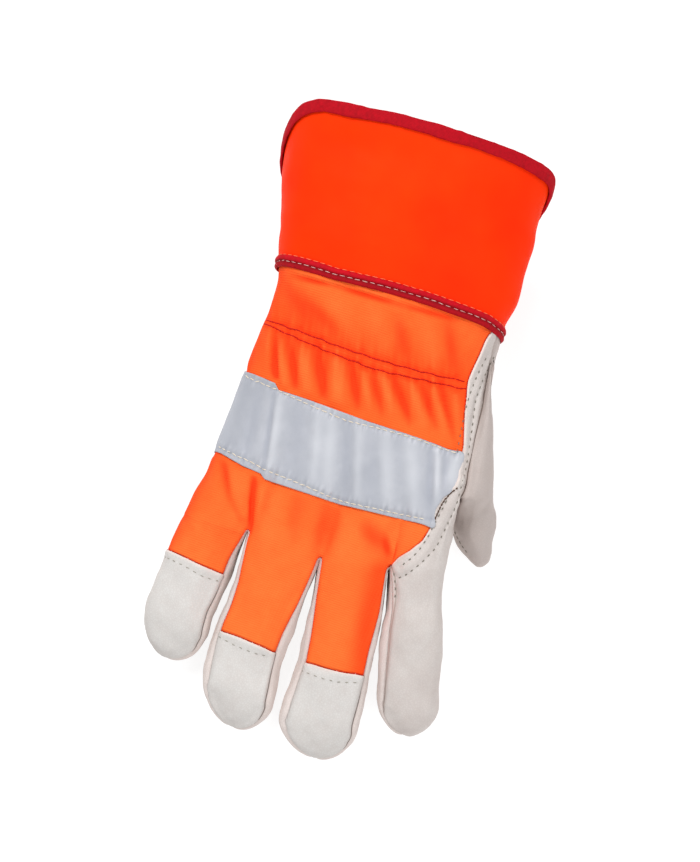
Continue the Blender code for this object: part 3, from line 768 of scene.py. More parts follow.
# %% Stitch rows on the leather, as they show in the picture
LITTLE_TIP_ROW = ((163.0, 556.0), (184.8, 566.0), (203.0, 576.8), (222.0, 582.0))
RING_TIP_ROW = ((218.0, 636.0), (232.9, 644.8), (256.0, 654.0), (273.5, 657.0))
MIDDLE_TIP_ROW = ((301.0, 670.5), (321.5, 678.3), (339.8, 682.4), (363.5, 682.6))
BORDER_ROW = (
    (486.0, 358.0), (477.0, 375.0), (468.0, 399.0), (461.0, 430.0), (456.0, 470.0), (447.0, 500.0),
    (436.0, 521.0), (428.0, 537.0), (419.0, 550.6), (414.0, 555.9), (407.7, 561.6), (400.0, 566.5),
)
SECOND_BORDER_ROW = (
    (494.0, 357.0), (485.0, 374.0), (479.0, 390.0), (475.0, 401.0), (474.0, 413.0), (472.0, 429.0),
    (466.0, 468.0), (456.0, 506.0), (436.0, 548.0), (419.4, 564.7), (404.4, 576.3), (397.8, 578.0),
)
INDEX_SIDE_ROW = (
    (391.5, 566.0), (394.5, 574.0), (395.6, 590.0), (394.5, 604.0), (390.5, 630.0), (387.0, 668.0),
    (383.0, 702.0), (381.8, 718.0),
)
THUMB_ROW = ((452.5, 527.0), (455.5, 534.0), (459.5, 541.5), (463.5, 548.5), (470.0, 556.0))
LEATHER_ROWS = (LITTLE_TIP_ROW, RING_TIP_ROW, MIDDLE_TIP_ROW, BORDER_ROW, SECOND_BORDER_ROW, THUMB_ROW)

# %% [markdown]
# Now all the heights are summed at every point of the skin: folds and puckers on the cloth, slow waves
# everywhere, grooves at the seams and dents along the stitches. The waves calm down towards a seam, and
# the folds stop where leather or tape holds the cloth down.

# %% Shape the whole skin
FOLD_START = 5.0
CALM_REACH = 4.0
STITCH_DENT = 0.3
STITCH_DENT_WIDTH = 2.4
SIDE_SEAM_DENT = 0.5
SIDE_SEAM_WIDTH = 2.2
ROW_GAP_SWELL = 0.2
ROW_GAP = 5.0

normals = normals_of(skin.data)
places = in_picture(points)
facing = facing_up(normals)
is_cloth = point_share(skin.data, cloth)
is_index = point_share(skin.data, panel_names.index("index_back"))
cloth_heights = (fold_heights(places, BACK_FOLDS) + elastic_heights(places)) * is_cloth * facing
cloth_heights *= ease(from_edge, 0.0, FOLD_START) * bare
cloth_waves = soft_waves(points, CLOTH_SOFTNESS, CLOTH_SEED) * bare
leather_waves = soft_waves(points, LEATHER_SOFTNESS, LEATHER_SEED)
from_turned = np.minimum(from_seam, from_hem)
calm = ease(np.minimum(from_edge, from_turned), 0.0, CALM_REACH)
heights = cloth_heights + calm * np.where(is_cloth > 0.0, cloth_waves, leather_waves)
heights -= GROOVE_DEPTH * swell(from_turned, GROOVE_WIDTH)
heights += GROOVE_SWELL * swell(from_turned - GROOVE_SWELL_AT, GROOVE_SWELL_WIDTH)
heights -= CLOTH_DIP * swell(from_edge, CLOTH_DIP_WIDTH) * is_cloth
heights -= UNDER_TAPE_DROP * (1.0 - bare) * is_cloth
to_rows = np.min([beside(places, row)[0] for row in LEATHER_ROWS], axis=0)
heights -= STITCH_DENT * swell(to_rows, STITCH_DENT_WIDTH) * (1.0 - is_cloth) * facing
to_side_seam, seam_side, _ = beside(places, INDEX_SIDE_ROW)
to_border = np.maximum(beside(places, BORDER_ROW)[0], beside(places, SECOND_BORDER_ROW)[0])
heights += ROW_GAP_SWELL * swell(to_border - ROW_GAP, ROW_GAP / 2.0) * is_index * facing
heights -= SIDE_SEAM_DENT * swell(to_side_seam, SIDE_SEAM_WIDTH) * is_index * facing
press(skin.data, heights)
print("heights in mm from", heights.min().round(2), "to", heights.max().round(2))

# %% [markdown]
# The measured back bends slightly along a line above the middle finger's right side, where the real
# cloth is round. Again and again, each point near that line moves a part of the way to the mean place
# of its neighbours. That softens the bend, but a faint line still shows.

# %% Soften a bend
CREASE = ((401.0, 512.0), (395.0, 556.0))
CREASE_REACH = 10.0
CREASE_PASSES = 40
CREASE_SHARE = 0.6
CREASE_FREE = (0.5, 3.0)

ends = np.empty(2 * len(skin.data.edges), int)
skin.data.edges.foreach_get("vertices", ends)
first_ends, last_ends = ends.reshape(-1, 2).T
neighbours = np.bincount(ends, minlength=len(points))
even_share = (
    swell(beside(places, CREASE)[0], CREASE_REACH) * ease(from_edge, *CREASE_FREE)
    * is_cloth * facing * CREASE_SHARE
)
pressed = points_of(skin.data)
evened = pressed.copy()
for _ in range(CREASE_PASSES):
    sums = [
        np.bincount(first_ends, evened[last_ends, axis], len(points))
        + np.bincount(last_ends, evened[first_ends, axis], len(points))
        for axis in range(3)
    ]
    evened += even_share[:, None] * (np.stack(sums, axis=1) / neighbours[:, None] - evened)
set_points(skin.data, evened)
print("farthest move in mm:", np.linalg.norm(evened - pressed, axis=1).max().round(3))

# %% [markdown]
# The materials need to know where they are: how deep a fold is, how far the surface turns away, how far the
# next seam or row of stitches is. Each of these is noted at every point as one number. The seams' dark line
# is painted shade in their grooves; on the fingertips' left sides and ends it is faded, by noting the seam as
# farther away there.

# %% Notes on the skin for the materials
PALE_FROM = (470.0, 600.0)
ELASTIC_SHADE_REACH = 34.0
MIDDLE_SHADE_SIDE = ((380.0, 572.0), (367.0, 630.0), (359.0, 690.0))
MIDDLE_SHADE_REACH = 13.0
FINGER_REGION = (400.0, 540.0)
FINGER_LEAN = 0.4
SHADE_LINE_TURN = (0.0, 0.3)
SHADE_LINE_FADE_MM = 4.0

rightness = normals @ rightward + FINGER_LEAN * normals @ upward
in_fingers = (places[:, 0] < FINGER_REGION[0]) & (places[:, 1] > FINGER_REGION[1])
# Fades the seams' painted shade line where the surface turns left or down in the fingers.
shade_line_fade = np.where(in_fingers, SHADE_LINE_FADE_MM * (1.0 - ease(rightness, *SHADE_LINE_TURN)), 0.0)
note(skin.data, "seam_line", from_seam + shade_line_fade)
lap_points, lap_normals = points_of(skin.data), normals_of(skin.data)
lap_lines = [(lap_points[line], lap_normals[line]) for line in lines_of(skin.data, edged)]
note(skin.data, "fold", cloth_heights / FOLD_SHADE_HEIGHT)
note(skin.data, "turn", 1.0 - normals[:, 2])
note(skin.data, "row", to_rows)
note(skin.data, "pale", ease(places[:, 1], *PALE_FROM))
# Painted shade: the cloth is painted redder near the elastic's gathers and down the middle finger's right
# side.
gathered = swell(beside(places, ELASTIC_LOWER)[0], ELASTIC_SHADE_REACH)
redder = swell(beside(places, MIDDLE_SHADE_SIDE)[0], MIDDLE_SHADE_REACH)
note(skin.data, "gathered", np.maximum(gathered, redder))
note(skin.data, "side_seam", np.where(is_index * facing > 0.5, to_side_seam * np.sign(-seam_side), FAR))
print("edge lines that fray:", len(lap_lines), "notes:", sorted(skin.data.attributes.keys()))

# %% [markdown]
# ## The ten panels
#
# The skin falls into its panels by material. The leather that is laid over the cloth is then lifted
# along that edge, and every panel gets its own thickness, measured inwards, so that its outer face
# stays where it is. The edges at the wrist and under the laps close by the same step.

# %% Split the skin and give the panels their thickness
LAP_LIFT = 0.5
LAP_FADE = 6.0
CLOTH_THICKNESS = 0.9
LEATHER_THICKNESS = 1.2

pick(skin)
others = set(bpy.data.objects) - {skin}
bpy.ops.mesh.separate(type="MATERIAL")
panels = {piece.data.materials[0].name: piece for piece in set(bpy.data.objects) - others}


def thicken(piece, thickness):
    """Gives a sheet a wall of this thickness in mm, inside its outer face."""
    wall = piece.modifiers.new("wall", "SOLIDIFY")
    wall.thickness = thickness * MM
    wall.offset = -1.0
    pick(piece)
    bpy.ops.object.modifier_apply(modifier=wall.name)


for name in HAND_PANELS:
    panel = panels[name]
    if name in ("index_back", *TIPS):
        press(panel.data, LAP_LIFT * swell(noted(panel.data, "edge"), LAP_FADE))
    thicken(panel, CLOTH_THICKNESS if name == "back_panel" else LEATHER_THICKNESS)
    panel.name = name + ("_cloth" if name == "back_panel" else "_leather")
    panel.data.name = panel.name
    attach(panel, "root")
    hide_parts(name)
print("panels:", sorted(panels), "back panel faces:", len(panels["back_panel"].data.polygons))

# %% [markdown]
# ## The reflective tape
#
# The tape is a stiff silver band sewn across the back over the cloth. It takes the cloth's folds, but
# being stiffer it turns them into flat facets that catch the light in stripes from edge to edge. It is
# pressed down along both of its edges.

# %% Reflective tape
TAPE_THICKNESS = 0.45
TAPE_DROP = 0.55
TAPE_EDGE_DROP = 0.3
TAPE_EDGE_WIDTH = 2.2
TAPE_SOFTNESS = ((16.0, 0.12), (6.0, 0.05))
TAPE_SEED = 37
TAPE_FOLD_FADE = (-3.0, 5.0)
TAPE_LOWEST = -0.35
TAPE_ROW_DENT = 0.25
TAPE_ROW_WIDTH = 2.6
TAPE_PUCKER = 0.16
TAPE_PUCKER_REACH = 6.0
TAPE_PUCKER_WAVES = ((7.3, 0.0), (10.9, 1.4), (5.1, 3.0))
TAPE_TOP_ROW = (
    (245.5, 376.0), (253.3, 379.9), (276.6, 389.5), (308.7, 404.7), (346.6, 420.8), (370.0, 426.3),
    (392.7, 432.0), (419.4, 439.7), (434.0, 445.5), (460.3, 454.5),
)
TAPE_BOTTOM_ROW = (
    (218.5, 446.5), (240.0, 457.5), (251.0, 461.6), (264.3, 469.6), (291.4, 480.2), (318.0, 491.4),
    (336.0, 499.5), (353.0, 504.0), (381.0, 509.8), (403.0, 514.8), (431.6, 520.4),
)

_, _, tape_uses = panels_at_edges(tape.data)
from_rim = distance_to(tape.data, tape_uses == 1)
points = points_of(tape.data)
normals = normals_of(tape.data)
tape_folds = fold_heights(in_picture(points), TAPE_FOLDS) * facing_up(normals)
tape_waves = soft_waves(points, TAPE_SOFTNESS, TAPE_SEED)
tape_puckers = np.zeros(len(points))
for row in (TAPE_TOP_ROW, TAPE_BOTTOM_ROW):
    distance, _, along = beside(in_picture(points), row)
    waves = sum(np.sin(2.0 * pi * along / length + first) for length, first in TAPE_PUCKER_WAVES)
    tape_puckers += TAPE_PUCKER * waves / WAVES_PEAK * swell(distance, TAPE_PUCKER_REACH)
    tape_puckers -= TAPE_ROW_DENT * swell(distance, TAPE_ROW_WIDTH)
tape_puckers *= facing_up(normals)
tape_heights = tape_folds * ease(from_rim, *TAPE_FOLD_FADE) + tape_waves + tape_puckers
tape_heights = np.maximum(tape_heights, TAPE_LOWEST) - TAPE_DROP
press(tape.data, tape_heights - TAPE_EDGE_DROP * swell(from_rim, TAPE_EDGE_WIDTH))
note(tape.data, "fold", (tape_folds + tape_puckers) / FOLD_SHADE_HEIGHT)
note(tape.data, "turn", 1.0 - normals[:, 2])
note(tape.data, "rim", from_rim)
thicken(tape, TAPE_THICKNESS)
tape.name = "silver_tape"
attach(tape, "root")
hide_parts("reflective_tape")
print("tape faces:", len(tape.data.polygons))

# %% [markdown]
# ## The cuff
#
# The cuff is a wide band of stiff coated cloth that stands open like a funnel. It has hardly any folds,
# only slow waves that come from being packed flat.

# %% Cuff
CUFF_WALL = 1.6
CUFF_SOFTNESS = ((70.0, 0.5), (30.0, 0.22), (9.0, 0.04))
CUFF_SEED = 41
CUFF_CALM = (4.0, 16.0)

cuff = outer_face("cuff", CUFF_WALL)
pair_triangles(cuff)
round_off(cuff)
nudge(cuff)
_, _, cuff_uses = panels_at_edges(cuff.data)
from_rim = distance_to(cuff.data, cuff_uses == 1)
points = points_of(cuff.data)
cuff_waves = soft_waves(points, CUFF_SOFTNESS, CUFF_SEED)
press(cuff.data, cuff_waves * ease(from_rim, *CUFF_CALM))
note(cuff.data, "rim", from_rim)

cuff_loops = lines_of(cuff.data, cuff_uses == 1)
cuff_points = points_of(cuff.data)
cuff_loops.sort(key=lambda loop: cuff_points[loop][:, 1].mean())
wrist_line, rim_line = (cuff_points[loop] for loop in cuff_loops)
thicken(cuff, CUFF_WALL)
cuff.name = "cuff_cloth"
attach(cuff, "root")
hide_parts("cuff")
print("cuff faces:", len(cuff.data.polygons), "border points:", len(wrist_line), len(rim_line))

# %% [markdown]
# ## The two bindings
#
# Dark red woven tape covers the seam between the hand and the cuff, and another is folded over the
# cuff's edge. The seam binding is a flat band with a stitched groove along its middle, which gives it
# two puffy lobes. Where a point lies across the band comes from its distances to the band's two borders.

# %% Seam binding
BINDING_WALL = 1.2
BINDING_NARROWING = 0.2
LOBE_DROP = 1.0
LOBE_FULLNESS = 0.6
GROOVE_DROP = 0.75
MIDDLE = 0.5
GROOVE_REACH = 0.25
BINDING_SOFTNESS = ((3.0, 0.05),)
BINDING_SEED = 53
BINDING_THICKNESS = 0.8

seam_binding = outer_face("cuff_seam_binding", BINDING_WALL)
pair_triangles(seam_binding)
round_off(seam_binding, BAND_ROUNDING)
nudge(seam_binding)
binding_points = points_of(seam_binding.data)
_, _, binding_uses = panels_at_edges(seam_binding.data)
binding_loops = lines_of(seam_binding.data, binding_uses == 1)
binding_loops.sort(key=lambda loop: binding_points[loop][:, 1].mean())


def distance_from_loop(points, loop_points):
    """Each point's distance in mm from the nearest point of a loop."""
    tree = tree_of(loop_points)
    return np.array([tree.find(point)[2] for point in points])


hand_tree, cuff_tree = (tree_of(binding_points[loop]) for loop in binding_loops)
hand_edge, cuff_edge = (
    np.array([tree.find(point)[0] for point in binding_points]) for tree in (hand_tree, cuff_tree)
)
band_way = cuff_edge - hand_edge
band_way /= np.linalg.norm(band_way, axis=1)[:, None]
off_middle = np.sum((binding_points - (hand_edge + cuff_edge) / 2.0) * band_way, axis=1)
binding_points -= band_way * (BINDING_NARROWING * off_middle)[:, None]
set_points(seam_binding.data, binding_points)
from_hand_side = distance_from_loop(binding_points, binding_points[binding_loops[0]])
from_cuff_side = distance_from_loop(binding_points, binding_points[binding_loops[1]])
across = from_hand_side / (from_hand_side + from_cuff_side)
lobes = np.abs(np.sin(2.0 * pi * across)) ** LOBE_FULLNESS
weave = soft_waves(binding_points, BINDING_SOFTNESS, BINDING_SEED)
dip = np.where(np.abs(across - MIDDLE) < GROOVE_REACH, GROOVE_DROP, LOBE_DROP)
press(seam_binding.data, -dip * (1.0 - lobes) + weave)
note(seam_binding.data, "across", across)
hand_side_line, cuff_side_line = (points_of(seam_binding.data)[loop] for loop in binding_loops)
seam_binding.name = "seam_binding"
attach(seam_binding, "root")
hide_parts("cuff_seam_binding")

# %% Rim binding
RIM_SOFTNESS = ((4.0, 0.06), (18.0, 0.12))
RIM_SEEDS = (59, 61)
RIM_TONE = 0.64

rim_binding = copy_of("cuff_rim_binding")
pair_triangles(rim_binding)
round_off(rim_binding)
nudge(rim_binding)
points = points_of(rim_binding.data)
rim_waves = [soft_waves(points, (wave,), seed) for wave, seed in zip(RIM_SOFTNESS, RIM_SEEDS)]
press(rim_binding.data, sum(rim_waves))
note(rim_binding.data, "across", np.full(len(points), RIM_TONE))
rim_binding.name = "rim_binding"
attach(rim_binding, "root")
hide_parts("cuff_rim_binding")
print("binding faces:", len(seam_binding.data.polygons), len(rim_binding.data.polygons))

# %% [markdown]
# ## Sewing
#
# Every visible stitch is a short pill of thread half sunk into the cloth. One pill is made from a
# sphere with few faces and copied along a path. The paths on the back are rows that show in the
# picture, followed from the camera onto the finished surfaces, and those of the bindings run all the
# way round the glove.

# %% Lay a path on the glove
SEEN_STEP = 1.0
SEEN_PASSES = 40
LAID_PASSES = 8


def surfaces(*pieces):
    graph = bpy.context.evaluated_depsgraph_get()
    return [BVHTree.FromObject(piece, graph) for piece in pieces]


def seen_path(pixels, *pieces):
    """(points, normals) in mm where a row of picture pixels falls on these pieces."""
    trees = surfaces(*pieces)
    places, ups = [], []
    for x, y in smooth_line(even_path(pixels, SEEN_STEP), SEEN_PASSES):
        ray = ahead + rightward * (x - CENTRE_X) / FOCAL_PIXELS + upward * (CENTRE_Y - y) / FOCAL_PIXELS
        hits = [tree.ray_cast(Vector(eye * MM), Vector(ray).normalized()) for tree in trees]
        hits = [hit for hit in hits if hit[0] is not None]
        if hits:
            place, normal, _, _ = min(hits, key=lambda hit: hit[3])
            places.append(np.array(place) / MM)
            ups.append(np.array(normal))
    return np.array(places), np.array(ups)


def laid_path(line, piece, closed=True):
    """(points, normals) in mm of the places on a piece nearest to a line."""
    tree = surfaces(piece)[0]
    path = smooth_line(even_path(line, closed=closed), LAID_PASSES, closed)
    found = [tree.find_nearest(Vector(point * MM)) for point in path]
    return np.array([hit[0] for hit in found]) / MM, np.array([hit[1] for hit in found])


# %% One stitch, copied along a path
STITCH_LIFT = 0.45
STITCH_SPREAD = (0.92, 1.06)

bpy.ops.object.select_all(action="DESELECT")
bpy.ops.mesh.primitive_uv_sphere_add(segments=8, ring_count=5, radius=1.0)
stitch = bpy.context.object
bpy.ops.object.mode_set(mode="EDIT")
bpy.ops.mesh.select_all(action="SELECT")
bpy.ops.transform.rotate(value=pi / 2, orient_axis="Y", center_override=(0.0, 0.0, 0.0))
bpy.ops.object.mode_set(mode="OBJECT")
stitch_points = points_of(stitch.data) * MM
stitch_faces = [tuple(face.vertices) for face in stitch.data.polygons]
bpy.data.objects.remove(stitch)


def sew(name, paths, length, gap, radius, sink, seed, wander=0.05):
    """Rows of stitches along (points, normals) paths, as one piece. All sizes are in mm."""
    draw = np.random.default_rng(seed)
    corners, faces = [], []
    for places, ups in paths:
        reached = np.concatenate(((0.0,), np.cumsum(np.linalg.norm(np.diff(places, axis=0), axis=1))))
        for start in np.arange(length / 2.0, reached[-1] - length / 2.0, length + gap):
            middle, before, after = (
                np.array([np.interp(start + shift, reached, places[:, k]) for k in range(3)])
                for shift in (0.0, -length / 2.0, length / 2.0)
            )
            up = np.array([np.interp(start, reached, ups[:, k]) for k in range(3)])
            way = after - before + draw.normal(size=3) * wander * length
            way /= np.linalg.norm(way)
            across_way = np.cross(up, way)
            across_way /= np.linalg.norm(across_way)
            up = np.cross(way, across_way)
            sizes = (length / 2.0 * draw.uniform(*STITCH_SPREAD), radius, radius * STITCH_LIFT * 2.0)
            axes = np.stack((way, across_way, up)) * np.array(sizes)[:, None]
            first = len(corners) * len(stitch_points)
            corners.append(stitch_points @ axes + middle + up * (radius * STITCH_LIFT - sink))
            faces += [tuple(first + number for number in face) for face in stitch_faces]
    mesh = bpy.data.meshes.new(name)
    mesh.from_pydata((np.concatenate(corners) * MM).tolist(), [], faces)
    piece = bpy.data.objects.new(name, mesh)
    bpy.context.collection.objects.link(piece)
    pick(piece)
    bpy.ops.object.mode_set(mode="EDIT")
    bpy.ops.mesh.select_all(action="SELECT")
    bpy.ops.mesh.normals_make_consistent(inside=False)
    bpy.ops.object.mode_set(mode="OBJECT")
    bpy.ops.object.shade_smooth()
    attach(piece, "root")
    print(name, "stitches:", len(corners))
    return piece


# %% Rows on the bindings
GROOVE_STITCH = {"length": 2.4, "gap": 0.8, "radius": 0.14, "sink": -0.05, "seed": 1}
EDGE_STITCH = {"length": 2.4, "gap": 0.8, "radius": 0.15, "sink": -0.05, "seed": 2}
EDGE_ROW = 0.93


def across_band(share):
    """A closed line along the seam binding, from 0 at its hand side to 1 at its cuff side."""
    tree = tree_of(cuff_side_line)
    partners = np.array([tree.find(point)[0] for point in hand_side_line])
    return hand_side_line * (1.0 - share) + partners * share


# The rows are laid on the band while it is a single sheet, so that they can't fall on its inner side.
groove_row = laid_path(across_band(MIDDLE), seam_binding)
top_row = laid_path(across_band(EDGE_ROW), seam_binding)
thicken(seam_binding, BINDING_THICKNESS)
groove_thread = sew("groove_stitches", [groove_row], **GROOVE_STITCH)
edge_thread = sew("binding_edge_stitches", [top_row], **EDGE_STITCH)

# %% Rows on the cloth back and on the tape
TAPE_STITCH = {"length": 2.6, "gap": 0.4, "radius": 0.24, "sink": 0.0, "wander": 0.12, "seed": 3}
ELASTIC_STITCH = {"length": 2.4, "gap": -0.5, "radius": 0.32, "sink": 0.12, "seed": 4}

back = panels["back_panel"]
index = panels["index_back"]
tape_rows = [seen_path(row, tape) for row in (TAPE_TOP_ROW, TAPE_BOTTOM_ROW)]
tape_thread = sew("tape_stitches", tape_rows, **TAPE_STITCH)
elastic_rows = [seen_path(row, back, index) for row in (upper_row, lower_row)]
elastic_thread = sew("elastic_stitches", elastic_rows, **ELASTIC_STITCH)

# %% Rows on the leather
TIP_STITCH = {"length": 1.5, "gap": 1.9, "radius": 0.2, "sink": 0.03, "wander": 0.1, "seed": 9}
LEATHER_STITCH = {"length": 1.3, "gap": 1.8, "radius": 0.23, "sink": 0.0, "wander": 0.12, "seed": 5}
THUMB_STITCH = {"length": 1.4, "gap": 0.9, "radius": 0.22, "sink": 0.0, "wander": 0.15, "seed": 10}
SEWN_SIDE_POINTS = 4

tip_rows = [
    seen_path(row, panels[tip]) for row, tip in zip((LITTLE_TIP_ROW, RING_TIP_ROW, MIDDLE_TIP_ROW), TIPS)
]
border_rows = [seen_path(row, index, panels["thumb"]) for row in (BORDER_ROW, SECOND_BORDER_ROW)]
side_rows = [seen_path(INDEX_SIDE_ROW[:SEWN_SIDE_POINTS], index, panels["fourchette_middle_index"])]
thumb_rows = [seen_path(THUMB_ROW, panels["thumb"])]
tip_thread = sew("fingertip_stitches", tip_rows, **TIP_STITCH)
leather_thread = sew("leather_stitches", border_rows + side_rows, **LEATHER_STITCH)
thumb_thread = sew("thumb_stitches", thumb_rows, **THUMB_STITCH)

# %% [markdown]
# Where the leather crosses the end of the tape, its edge is rolled and whipped with dark thread. Cut
# edges of the cloth fray, so a few fibres stand up along every line where leather is laid over cloth.

# %% Whipped edge and loose fibres
WHIPPED_EDGE = (
    (458.0, 487.5), (451.5, 492.0), (446.0, 498.0), (441.0, 505.0), (437.6, 513.5), (434.0, 521.0),
)
WHIP_STITCH = {"length": 1.7, "gap": -0.2, "radius": 0.34, "sink": 0.1, "wander": 0.2, "seed": 6}
LOOSE_FIBRE = {"length": 1.0, "gap": 0.7, "radius": 0.12, "sink": -0.1, "wander": 0.7, "seed": 7}
PALE_FIBRE = {"length": 0.9, "gap": 1.9, "radius": 0.13, "sink": -0.2, "wander": 0.9, "seed": 8}

whipped = sew("whipped_edge", [seen_path(WHIPPED_EDGE, index, tape)], **WHIP_STITCH)
fibres = sew("loose_fibres", lap_lines, **LOOSE_FIBRE)
pale_fibres = sew("pale_fibres", lap_lines, **PALE_FIBRE)

# %% [markdown]
# ## Materials
#
# The cloth, the leather, the bindings and the tape share a few effects, so each effect is a node group
# that is built once: a woven grid for cloth, pores and fine creases for leather, and slow changes of
# tone for everything. Colours are named once, as they look under the lamps.

# %% Colour and node helpers
def linear(red, green, blue):
    """A colour given from 0 to 255, as the shader wants it, by the sRGB curve."""
    return (*(((value / 255 + 0.055) / 1.055) ** 2.4 if value > 10 else value / 255 / 12.92
              for value in (red, green, blue)), 1.0)


def add_node(tree, kind, values=(), **choices):
    """Adds a shader node. A value that is another node's socket becomes a link."""
    made = tree.nodes.new("ShaderNode" + kind)
    for name, choice in choices.items():
        setattr(made, name, choice)
    for socket, value in dict(values).items():
        if isinstance(value, bpy.types.NodeSocket):
            tree.links.new(value, made.inputs[socket])
        else:
            made.inputs[socket].default_value = value
    return made


def math_node(tree, operation, first, second=0.0, clamp=False):
    made = add_node(tree, "Math", {0: first, 1: second}, operation=operation, use_clamp=clamp)
    return made.outputs[0]


def place_node(tree):
    """A point's own place on the object, in metres."""
    return add_node(tree, "TexCoord").outputs["Object"]


def new_group(name, inputs, outputs):
    """An empty node group with number inputs and outputs, and its two end nodes."""
    tree = bpy.data.node_groups.new(name, "ShaderNodeTree")
    for label, value in inputs.items():
        made = tree.interface.new_socket(name=label, in_out="INPUT", socket_type="NodeSocketFloat")
        made.default_value = value
    for label in outputs:
        tree.interface.new_socket(name=label, in_out="OUTPUT", socket_type="NodeSocketFloat")
    return tree, tree.nodes.new("NodeGroupInput"), tree.nodes.new("NodeGroupOutput")


def use_group(tree, group, **values):
    """A group placed in a material, with its own values."""
    made = tree.nodes.new("ShaderNodeGroup")
    made.node_tree = group
    for name, value in values.items():
        made.inputs[name].default_value = value
    return made


# %% Group: woven cloth
# A wave texture repeats once every 0.314 units at scale 1.
WAVE_LENGTH = 2.0 * pi / 20.0
CROSS_SHARE = 0.06
SLUB_SCALE = 300.0

weave_inputs = {"Pitch mm": 0.7, "Cross pitch mm": 0.5}
weave_group, weave_in, weave_out = new_group("weave", weave_inputs, ("Height", "Tone"))
place = place_node(weave_group)
waves = []
for axis, label in (("Y", "Pitch mm"), ("X", "Cross pitch mm")):
    scale = math_node(weave_group, "DIVIDE", WAVE_LENGTH / MM, weave_in.outputs[label])
    wave = add_node(
        weave_group, "TexWave",
        {"Vector": place, "Scale": scale, "Distortion": 0.5, "Detail": 1.0, "Detail Scale": 0.3},
        bands_direction=axis,
    )
    waves.append(wave.outputs["Fac"])
ribs, cross_threads = waves
crossed = math_node(weave_group, "MULTIPLY", cross_threads, CROSS_SHARE)
weave_height = math_node(weave_group, "ADD", ribs, crossed)
slub = add_node(weave_group, "TexNoise", {"Vector": place, "Scale": SLUB_SCALE, "Detail": 1.0}).outputs["Fac"]
weave_group.links.new(math_node(weave_group, "ADD", weave_height, slub), weave_out.inputs["Height"])
weave_group.links.new(math_node(weave_group, "MULTIPLY", ribs, slub), weave_out.inputs["Tone"])
print("weave nodes:", len(weave_group.nodes))

# %% Group: leather grain
PEBBLE_SHARE = 0.5
PEBBLE_EDGE = 0.25

grain_group, grain_in, grain_out = new_group("leather grain", {"Size mm": 1.1}, ("Height", "Pores"))
place = place_node(grain_group)
scale = math_node(grain_group, "DIVIDE", 1.0 / MM, grain_in.outputs["Size mm"])
cells = add_node(grain_group, "TexVoronoi", {"Vector": place, "Scale": scale}, feature="DISTANCE_TO_EDGE")
pebbles = add_node(
    grain_group, "MapRange", {"Value": cells.outputs["Distance"], "From Max": PEBBLE_EDGE},
    interpolation_type="SMOOTHSTEP",
)
creases = add_node(
    grain_group, "TexNoise",
    {"Vector": place, "Scale": 260.0, "Detail": 5.0, "Roughness": 0.6, "Distortion": 0.6},
)
pebble_height = math_node(grain_group, "MULTIPLY", pebbles.outputs["Result"], PEBBLE_SHARE)
grain_height = math_node(grain_group, "ADD", pebble_height, creases.outputs["Fac"])
grain_group.links.new(grain_height, grain_out.inputs["Height"])
grain_group.links.new(pebbles.outputs["Result"], grain_out.inputs["Pores"])
print("leather grain nodes:", len(grain_group.nodes))

# %% Group: slow changes of tone
TONE_SCALES = {"Broad": 1.0, "Fine": 6.0}
TONE_RANGE = {"From Min": 0.3, "From Max": 0.7}

tone_group, tone_in, tone_out = new_group("tone", {"Size mm": 25.0, "Seed": 0.0}, tuple(TONE_SCALES))
place = place_node(tone_group)
for label, factor in TONE_SCALES.items():
    scale = math_node(tone_group, "DIVIDE", factor / MM, tone_in.outputs["Size mm"])
    noise = add_node(
        tone_group, "TexNoise",
        {"Vector": place, "Scale": scale, "Detail": 3.0, "W": tone_in.outputs["Seed"]},
        noise_dimensions="4D",
    )
    full_range = add_node(tone_group, "MapRange", {"Value": noise.outputs["Fac"], **TONE_RANGE})
    tone_group.links.new(full_range.outputs["Result"], tone_out.inputs[label])
print("tone nodes:", len(tone_group.nodes))

# %% Group: a mark that fades with distance from a line
line_group, line_in, line_out = new_group("line", {"Distance mm": 0.0, "Width mm": 1.0}, ("Mark",))
share = math_node(line_group, "DIVIDE", line_in.outputs["Distance mm"], line_in.outputs["Width mm"])
fade = add_node(
    line_group, "MapRange", {"Value": share, "To Min": 1.0, "To Max": 0.0}, interpolation_type="SMOOTHSTEP"
)
line_group.links.new(fade.outputs["Result"], line_out.inputs["Mark"])


# %% [markdown]
# A colour is built up in layers: each blend lays the next colour over the last one, by a mask that an
# effect or a noted number gives. The sockets of a mix node that mixes colours have no names of their
# own, so they are named here by their numbers.

# %% Build a material from its parts
MIX_FACTOR = 0
MIX_UNDER = 6
MIX_OVER = 7
MIX_RESULT = 2


def blend(tree, factor, under, over):
    """One colour laid over another by a factor."""
    made = add_node(tree, "Mix", data_type="RGBA")
    for number, value in ((MIX_FACTOR, factor), (MIX_UNDER, under), (MIX_OVER, over)):
        if isinstance(value, bpy.types.NodeSocket):
            tree.links.new(value, made.inputs[number])
        else:
            made.inputs[number].default_value = value
    return made.outputs[MIX_RESULT]


def attribute(tree, name):
    """A number that was noted at the points of the piece."""
    return add_node(tree, "Attribute", attribute_name=name).outputs["Fac"]


def spread(tree, value, start, end, high=1.0, low=0.0):
    """Maps a value's range from start to end onto low to high, and stops there."""
    sizes = {"Value": value, "From Min": start, "From Max": end, "To Min": low, "To Max": high}
    return add_node(tree, "MapRange", sizes).outputs["Result"]


def scaled(tree, socket, amount):
    return math_node(tree, "MULTIPLY", socket, amount, clamp=True)


def uneven(tree, tones, low, high):
    """A roughness that changes a little with the fine tones."""
    return spread(tree, tones.outputs["Fine"], start=0.0, end=1.0, high=high, low=low)


def mark_at(tree, distance, width, amount=1.0):
    """A mask along the line that a distance is measured from."""
    line = use_group(tree, line_group, **{"Width mm": width})
    tree.links.new(distance, line.inputs["Distance mm"])
    return scaled(tree, line.outputs["Mark"], amount)


def mark(tree, name, width, amount=1.0):
    """A mask along the line that a noted distance is measured from."""
    return mark_at(tree, attribute(tree, name), width, amount)


